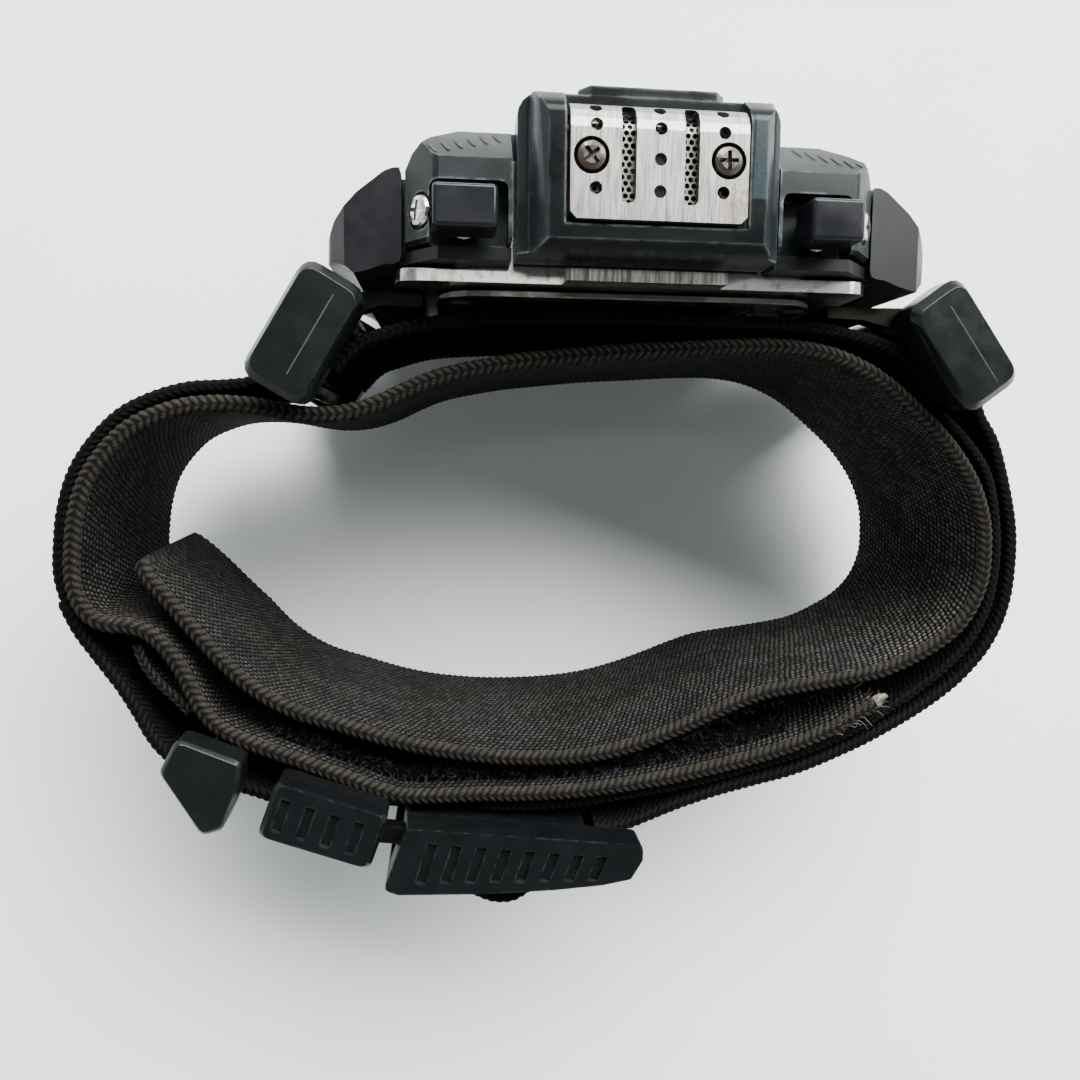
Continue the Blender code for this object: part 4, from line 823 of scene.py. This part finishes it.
# The fold below the female half, along it and towards the wrist from its middle.
FOLD_POINTS = [
    (-6.4, -3.6), (-5.3, -4.2), (-3.6, -4.75), (-2.0, -4.65), (-0.9, -4.0), (-0.1, -3.2),
]
FOLD_THICKNESS = 0.95
FOLD_NEAR_Z = 29.5
band("right_fold_fabric", [frame_point(FEMALE, a, b) for a, b in FOLD_POINTS], LINER_WIDTH,
     FOLD_THICKNESS, "band_right", "right_strap_fold", OUTER, near=FOLD_NEAR_Z)


# Small details


def head_matrix():
    """From the head's (u, h, z) in millimetres to the scene, with h out of the glass."""
    turn = Matrix.Rotation(HEAD_LEAN, 4, "Z")
    return Matrix.Scale(MM, 4) @ Matrix.Translation(HEAD_PLACE + SHIFT) @ turn


def add_mesh(name, bm, finish_name, body, matrix, smooth=False):
    """A detail that rides on a body."""
    bmesh.ops.transform(bm, matrix=matrix, verts=bm.verts)
    bmesh.ops.recalc_face_normals(bm, faces=bm.faces)
    mesh = bpy.data.meshes.new(name)
    bm.to_mesh(mesh)
    bm.free()
    for face in mesh.polygons:
        face.use_smooth = smooth
    mesh.materials.append(MATERIALS[finish_name])
    obj = link_new(name, mesh)
    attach(obj, body)
    return obj


def add_block(bm, low, high):
    size = [b - a for a, b in zip(low, high)]
    centre = [(a + b) / 2 for a, b in zip(low, high)]
    matrix = Matrix.Translation(centre) @ Matrix.Diagonal((*size, 1))
    bmesh.ops.create_cube(bm, size=1, matrix=matrix)


# The perforated sheet lies just behind the plate and follows its bend.
MESH_PITCH = 0.52
MESH_HOLE_R = 0.195
MESH_LOW_H = 4.75
MESH_HALF = 6.1
MESH_MARGIN = 0.2
MESH_MERGE = 0.02
BEND_H = 10.0
BEND_Z = 39.8
MESH_BEND_R = 1.38
FLARE_TURN = math.radians(75)
FLARE_TILT = math.radians(40)
FLARE_LENGTH = 0.95
SCREW_U = 5.15
SCREW_H = 8.0
SCREW_CLEAR_R = 1.9

# On the slope, h and z of the head add up to this.
SLOPE_SUM = 46.9

# The dark strip between each lug cover and the bezel: a block that stands in for the shade in the
# gap, painted shade.
GAP_SHADE_LOW_H = 2.2
GAP_SHADE_HIGH_H = 8.4
GAP_SHADE_FAR_Z = 20.0
GAP_SHADE_NEAR_Z = 32.9

# The melted lump's middle, back from the liner's end and above the floor, and its half sizes
# along the band, across it and upwards.
TIP_BACK = 1.1
TIP_Z = 28.2
TIP_LONG = 2.1
TIP_WIDE = 0.62
TIP_HIGH = 0.55


def on_sheet(u, run):
    """A point of the sheet, run millimetres from its lower edge."""
    flat = BEND_H - MESH_LOW_H
    if run <= flat:
        return (u, MESH_LOW_H + run, BEND_Z + MESH_BEND_R)
    angle = min((run - flat) / MESH_BEND_R, FLARE_TURN)
    skirt = run - flat - angle * MESH_BEND_R
    h = BEND_H + MESH_BEND_R * math.sin(angle) + skirt * math.sin(FLARE_TILT)
    return (u, h, BEND_Z + MESH_BEND_R * math.cos(angle) - skirt * math.cos(FLARE_TILT))


def add_sensor_mesh():
    """Hexagonal cells, each with a round hole."""
    bm = bmesh.new()
    row_step = MESH_PITCH * math.sqrt(3) / 2
    length = BEND_H - MESH_LOW_H + MESH_BEND_R * FLARE_TURN + FLARE_LENGTH
    for row in range(int(length / row_step)):
        run = row_step * (row + 0.5)
        for column in range(int(2 * MESH_HALF / MESH_PITCH)):
            u = -MESH_HALF + MESH_PITCH * (column + 0.5 + 0.5 * (row % 2))
            if abs(u) > MESH_HALF - MESH_MARGIN:
                continue
            if math.hypot(abs(u) - SCREW_U, MESH_LOW_H + run - SCREW_H) < SCREW_CLEAR_R:
                continue
            add_mesh_cell(bm, u, run)
    bmesh.ops.remove_doubles(bm, verts=bm.verts, dist=MESH_MERGE)
    obj = add_mesh("perforated_sheet", bm, "sensor", "head", head_matrix())
    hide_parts("sensor_mesh")


def add_mesh_cell(bm, u, run):
    """One hexagon round its hole, both as twelve points."""
    side = MESH_PITCH / math.sqrt(3)
    outer = []
    inner = []
    for k in range(12):
        angle = math.radians(30 * k + 30)
        reach = side if k % 2 == 0 else side * math.cos(math.radians(30))
        for points, radius in ((outer, reach), (inner, MESH_HOLE_R)):
            point = on_sheet(u + radius * math.cos(angle), run + radius * math.sin(angle))
            points.append(bm.verts.new(point))
    for k in range(12):
        j = (k + 1) % 12
        bm.faces.new((outer[k], outer[j], inner[j], inner[k]))


# Which of the seven bars each digit lights: top, upper left, upper right, middle,
# lower left, lower right, bottom.
DIGITS = {
    "0": "1110111", "1": "0010010", "2": "1011101", "3": "1011011", "4": "0111010",
    "5": "1101011", "6": "1101111", "7": "1010010", "8": "1111111", "9": "1111011",
}
LCD_H = 6.62
LCD_INK = 0.03
LCD_MIDDLE_Z = 19
# The time and the numbers above it: the text, its place down and across, and its height.
LCD_NUMBERS = (("1058", 0.9, -6.3, 4.6), ("246", -3.6, -5.4, 2.6), ("18", -3.6, 3.2, 2.6))
DIGIT_WIDTH = 0.55
DIGIT_STEP = 1.3
DIGIT_BAR = 0.13
COLON_GAP = 0.9
COLON_DOTS = (-0.2, 1.9)
COLON_SIZE = 0.5
COLON_SIDES = (-0.35, 0.15)
# The rule and the scale's first mark: top, bottom, left and right.
RULE = (-1.75, -1.6, -7.2, 7.2)
SCALE_MARK = (4.6, 5.2, -6.6, -5.9)
SCALE_COUNT = 9
SCALE_STEP = 1.1


def add_lcd_digits():
    """Seven-bar digits; the watch's up is -u and its right is -z."""
    bm = bmesh.new()
    for text, up, start, height in LCD_NUMBERS:
        width = DIGIT_WIDTH * height
        for place, digit in enumerate(text):
            gap = COLON_GAP if len(text) == 4 and place > 1 else 0.0
            right = start + place * width * DIGIT_STEP + gap
            add_digit(bm, digit, up, right, width, height)
    for up in COLON_DOTS:
        add_lcd_bar(bm, up, up + COLON_SIZE, *COLON_SIDES)
    add_lcd_bar(bm, *RULE)
    top, bottom, left, right = SCALE_MARK
    for k in range(SCALE_COUNT):
        add_lcd_bar(bm, top, bottom, left + SCALE_STEP * k, right + SCALE_STEP * k)
    obj = add_mesh("lcd_digits", bm, "ink", "head", head_matrix())


def add_lcd_bar(bm, u_low, u_high, right_low, right_high):
    low = (u_low, LCD_H, LCD_MIDDLE_Z - right_high)
    add_block(bm, low, (u_high, LCD_H + LCD_INK, LCD_MIDDLE_Z - right_low))


def add_digit(bm, digit, up, right, width, height):
    """One digit round u = up, starting right millimetres to the right of the middle."""
    t = DIGIT_BAR * height
    top, low = up - height / 2, up + height / 2
    far = right + width
    bars = (
        (top, top + t, right + t, far - t), (top + t, up - t / 3, right, right + t),
        (top + t, up - t / 3, far - t, far), (up - t / 2, up + t / 2, right + t, far - t),
        (up + t / 3, low - t, right, right + t), (up + t / 3, low - t, far - t, far),
        (low - t, low, right + t, far - t),
    )
    for lit, bar in zip(DIGITS[digit], bars):
        if lit == "1":
            add_lcd_bar(bm, *bar)


LINE_HALF = 0.07
LINE_TOP_SHARE = 0.3
LINE_LOW_Z = 34.99
LINE_HIGH_Z = 35.035


def add_parting_line(name, ring, body, s, t_low, t_high):
    """A fine moulding line on the near cheek of a ring, narrower at its top."""
    bm = bmesh.new()
    corners = [(-LINE_HALF, t_low), (LINE_HALF, t_low), (LINE_HALF, t_high), (-LINE_HALF, t_high)]
    low = [bm.verts.new((*ring_point(ring, s + a, b), LINE_LOW_Z)) for a, b in corners]
    high = [bm.verts.new((*ring_point(ring, s + a * LINE_TOP_SHARE, b), LINE_HIGH_Z))
            for a, b in corners]
    for k in range(4):
        j = (k + 1) % 4
        bm.faces.new((low[k], low[j], high[j], high[k]))
    bm.faces.new(high)
    matrix = Matrix.Scale(MM, 4) @ Matrix.Translation(SHIFT)
    obj = add_mesh(name, bm, "seam", body, matrix)


FIBRE_STEPS = 4
FIBRE_SWERVE = 0.55


def add_fibres(name, body, finish_name, starts, length, radius, seed):
    """Loose fibres as thin curves; starts gives points and the way each one leaves."""
    chance = random.Random(seed)
    curve = bpy.data.curves.new(name, "CURVE")
    curve.dimensions = "3D"
    curve.bevel_depth = radius * MM
    curve.bevel_resolution = 0
    for start, way in starts(chance):
        spline = curve.splines.new("POLY")
        spline.points.add(FIBRE_STEPS)
        point = Vector(start)
        heading = Vector(way).normalized()
        step = length * chance.uniform(0.5, 1.2) / FIBRE_STEPS
        for node in spline.points:
            node.co = (*((point + SHIFT) * MM), 1)
            swerve = Vector([chance.uniform(-1, 1) for _ in range(3)])
            heading = (heading + swerve * FIBRE_SWERVE).normalized()
            point = point + heading * step
    curve.materials.append(MATERIALS[finish_name])
    obj = link_new(name, curve)
    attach(obj, body)


TAPE_DROP = 2.0
TAPE_DEPTH = (-0.3, 2.2)
TAPE_STEP = 0.3


def tape_starts(path, count):
    """Fibre roots on the near edge and upper part of a tape."""
    points, _ = smooth_path(path, TAPE_STEP)

    def starts(chance):
        for _ in range(count):
            k = chance.randrange(1, len(points) - 1)
            along = (points[k + 1] - points[k - 1]).normalized()
            side = Vector((-along.y, along.x)) * chance.uniform(-0.4, 0.4)
            z = strap_near_z(points[k].y) - TAPE_DROP - chance.uniform(*TAPE_DEPTH)
            yield ((points[k].x + side.x, points[k].y + side.y, z),
                   (side.x * 2, side.y * 2, 0.7))
    return starts


# The frayed end: its heights above the floor, how many of the fibres sit on its near corner,
# how far back those reach, and the way the edge runs there.
FRAY_COUNT = 120
FRAY_Z = (6.5, 29.0)
FRAY_CORNER_SHARE = 0.7
FRAY_CORNER_Z = (27.4, 28.9)
FRAY_BACK = 5.0
FRAY_WAY = (0.86, 0.5)


def tip_starts(chance):
    """The frayed end of the liner."""
    start = Vector(LINER_PATH[0])
    for _ in range(FRAY_COUNT):
        z = chance.uniform(*FRAY_Z)
        across = chance.uniform(-0.55, 0.55)
        back = 0.0
        if chance.random() < FRAY_CORNER_SHARE:
            z = chance.uniform(*FRAY_CORNER_Z)
            back = chance.uniform(0.0, FRAY_BACK)
        x = start.x - 0.2 + across * 0.4 - FRAY_WAY[0] * back
        yield ((x, start.y + across - FRAY_WAY[1] * back, z),
               (1.0, chance.uniform(-0.2, 0.9), chance.uniform(-0.2, 0.5)))


MARK_COUNT = 6
MARK_CORNERS = [(-0.42, 0.55), (-0.12, 0.55), (0.42, -0.55), (0.12, -0.55)]
MARK_LIFT = 0.02


def add_shoulder_marks(name, u_start, u_end, h_start, h_end):
    """Slanted printed dashes on the near slope of a bezel shoulder, at 45 degrees."""
    bm = bmesh.new()
    slope = math.sqrt(0.5)
    for k in range(MARK_COUNT):
        t = (k + 0.5) / MARK_COUNT
        u = u_start + (u_end - u_start) * t
        h = h_start + (h_end - h_start) * t
        z = SLOPE_SUM - h
        bm.faces.new([
            bm.verts.new((u + a, h + b * slope + MARK_LIFT, z - b * slope + MARK_LIFT))
            for a, b in MARK_CORNERS
        ])
    obj = add_mesh(name, bm, "mark", "head", head_matrix())


def add_lug_gap_shade(name, u_low, u_high):
    """Closes the gap between a lug cover and the bezel with a dark block: painted shade."""
    bm = bmesh.new()
    add_block(bm, (u_low, GAP_SHADE_LOW_H, GAP_SHADE_FAR_Z), (u_high, GAP_SHADE_HIGH_H, GAP_SHADE_NEAR_Z))
    obj = add_mesh(name, bm, "resin", "head", head_matrix())


def add_tip_blob():
    """The melted lump on the liner's cut end."""
    bm = bmesh.new()
    bmesh.ops.create_icosphere(bm, subdivisions=4, radius=1.0)
    start = Vector((*LINER_PATH[0], 0.0))
    along = (Vector((*LINER_PATH[2], 0.0)) - start).normalized()
    side = Vector((-along.y, along.x, 0.0))
    centre = start + along * TIP_BACK + Vector((0, 0, TIP_Z))
    for vert in bm.verts:
        co = vert.co
        rough = noise.noise(co * 1.7) * 0.45 + noise.noise(co * 5.0) * 0.22
        long = 1.0 + 0.5 * noise.noise(co * 0.9 + Vector((3, 1, 2)))
        up = Vector((0, 0, co.z * (TIP_HIGH + rough * 0.6)))
        vert.co = (centre + along * co.x * (TIP_LONG * long + rough)
                   + side * co.y * (TIP_WIDE + rough * 0.7) + up)
    matrix = Matrix.Scale(MM, 4) @ Matrix.Translation(SHIFT)
    obj = add_mesh("melted_tip", bm, "tip", "head", matrix, smooth=True)


# The lint at the fold, along the female half and towards the wrist from its middle.
TUFT_COUNT = 90
TUFT_ALONG = (-4.6, -0.6)
TUFT_LOWEST = (-2.4, -4.4)
TUFT_RISE = 0.35
TUFT_Z = (24.0, 29.3)


def tuft_starts(chance):
    """Lint at the fold below the female half."""
    for _ in range(TUFT_COUNT):
        a = chance.uniform(*TUFT_ALONG)
        x, y = frame_point(FEMALE, a, TUFT_LOWEST[1] + TUFT_RISE * abs(a - TUFT_LOWEST[0]))
        yield ((x, y, chance.uniform(*TUFT_Z)),
               (chance.uniform(-0.5, 0.5), -0.6, chance.uniform(-0.2, 0.5)))


add_sensor_mesh()
add_lcd_digits()
add_shoulder_marks("shoulder_marks_left", -17.3, -11.3, 9.4, 11.05)
add_shoulder_marks("shoulder_marks_right", 12.2, 18.2, 11.0, 9.5)
# Dark blocks in the gaps beside the lug covers: painted shade.
add_lug_gap_shade("lug_gap_shade_left", -19.6, -18.7)
add_lug_gap_shade("lug_gap_shade_right", 19.3, 20.2)
add_tip_blob()
add_fibres("fold_tuft", "band_right", "lint", tuft_starts, 0.8, 0.022, 8)
add_parting_line("parting_line_left", LEFT_RING, "band_left", -0.6, -3.8, 3.6)
add_parting_line("parting_line_right", RIGHT_RING, "band_right", 0.5, -3.6, 4.2)
TAPE_OFFSET = 1.42
HOOK_PATH = offset_path(LINER_PATH[3:19], -TAPE_OFFSET)
LOOP_PATH = offset_path(LINER_PATH[67:73], TAPE_OFFSET)
add_fibres("hook_fibres", "head", "lint", tape_starts(HOOK_PATH, 900), 1.1, 0.018, 3)
add_fibres("loop_fibres", "head", "lint", tape_starts(LOOP_PATH, 300), 1.1, 0.018, 4)
add_fibres("frayed_tip", "head", "tip", tip_starts, 1.9, 0.028, 5)


# Stage

FLOOR_SIZE = 3.0


def add_floor():
    bpy.ops.mesh.primitive_plane_add(size=FLOOR_SIZE)
    floor = bpy.context.object
    floor.name = "floor"
    shade = Shade("floor_card", (0.77, 0.79, 0.78), 0.85)
    mottle = shade.noise(0.02, 3)
    tone = shade.mix(shade.span(mottle, 0.3, 0.7), (0.755, 0.780, 0.770), (0.785, 0.808, 0.798))
    shade.set("Base Color", tone)
    floor.data.materials.append(shade.material)


def add_area(name, place, aim, size, power, spread=180):
    light = bpy.data.lights.new(name, "AREA")
    light.shape = "RECTANGLE"
    light.size, light.size_y = size
    light.energy = power
    light.spread = math.radians(spread)
    obj = link_new(name, light)
    obj.location = place
    obj.rotation_euler = (Vector(aim) - Vector(place)).to_track_quat("-Z", "Y").to_euler()


# The room: pale walls and a dark ceiling, which the black plastic mirrors.
ROOM_COLOUR = (0.92, 0.97, 1.0, 1.0)
WALL_LIGHT = 1.35
CEILING_LIGHT = 0.26
WALL_RISE = 0.25
CEILING_RISE = 0.85


def add_world():
    world = bpy.data.worlds.new("studio")
    world.use_nodes = True
    tree = world.node_tree
    background = tree.nodes["Background"]
    background.inputs["Color"].default_value = ROOM_COLOUR
    coords = tree.nodes.new("ShaderNodeTexCoord")
    axes = tree.nodes.new("ShaderNodeSeparateXYZ")
    rise = tree.nodes.new("ShaderNodeMapRange")
    tree.links.new(coords.outputs["Generated"], axes.inputs[0])
    tree.links.new(axes.outputs["Z"], rise.inputs["Value"])
    for index, value in enumerate((WALL_RISE, CEILING_RISE, WALL_LIGHT, CEILING_LIGHT)):
        rise.inputs[index + 1].default_value = value
    tree.links.new(rise.outputs[0], background.inputs["Strength"])
    bpy.context.scene.world = world


# The camera looks almost straight down: where straight down lies in its view, and its roll.
CAMERA_PLACE = Vector((-11.15, 5.8, 107.5))
DOWN_IN_VIEW = Vector((-0.103, 0.0995, -1.0))
CAMERA_ROLL = math.radians(2.2)
CAMERA_LENS = 29.13
SENSOR_WIDTH = 36.0
CLIP_START = 0.005


def add_camera():
    up = -DOWN_IN_VIEW.normalized()
    right = Vector((math.cos(CAMERA_ROLL), -math.sin(CAMERA_ROLL), 0))
    right = (right - up * right.dot(up)).normalized()
    ahead = up.cross(right)
    turn = Matrix((right, ahead, up)).to_4x4()
    data = bpy.data.cameras.new("camera")
    data.lens = CAMERA_LENS
    data.sensor_width = SENSOR_WIDTH
    data.clip_start = CLIP_START
    camera = link_new("camera", data)
    camera.matrix_world = Matrix.Translation((CAMERA_PLACE + SHIFT) * MM) @ turn
    bpy.context.scene.camera = camera


add_floor()
add_world()
add_area("window", (0.22, 0.60, 0.54), (0.02, 0.04, 0), (1.2, 0.5), 26.0, spread=130)
add_area("ceiling_strip", (0.03, 0.125, 0.60), (0.03, 0.125, 0), (0.23, 0.04), 0.13)
add_camera()
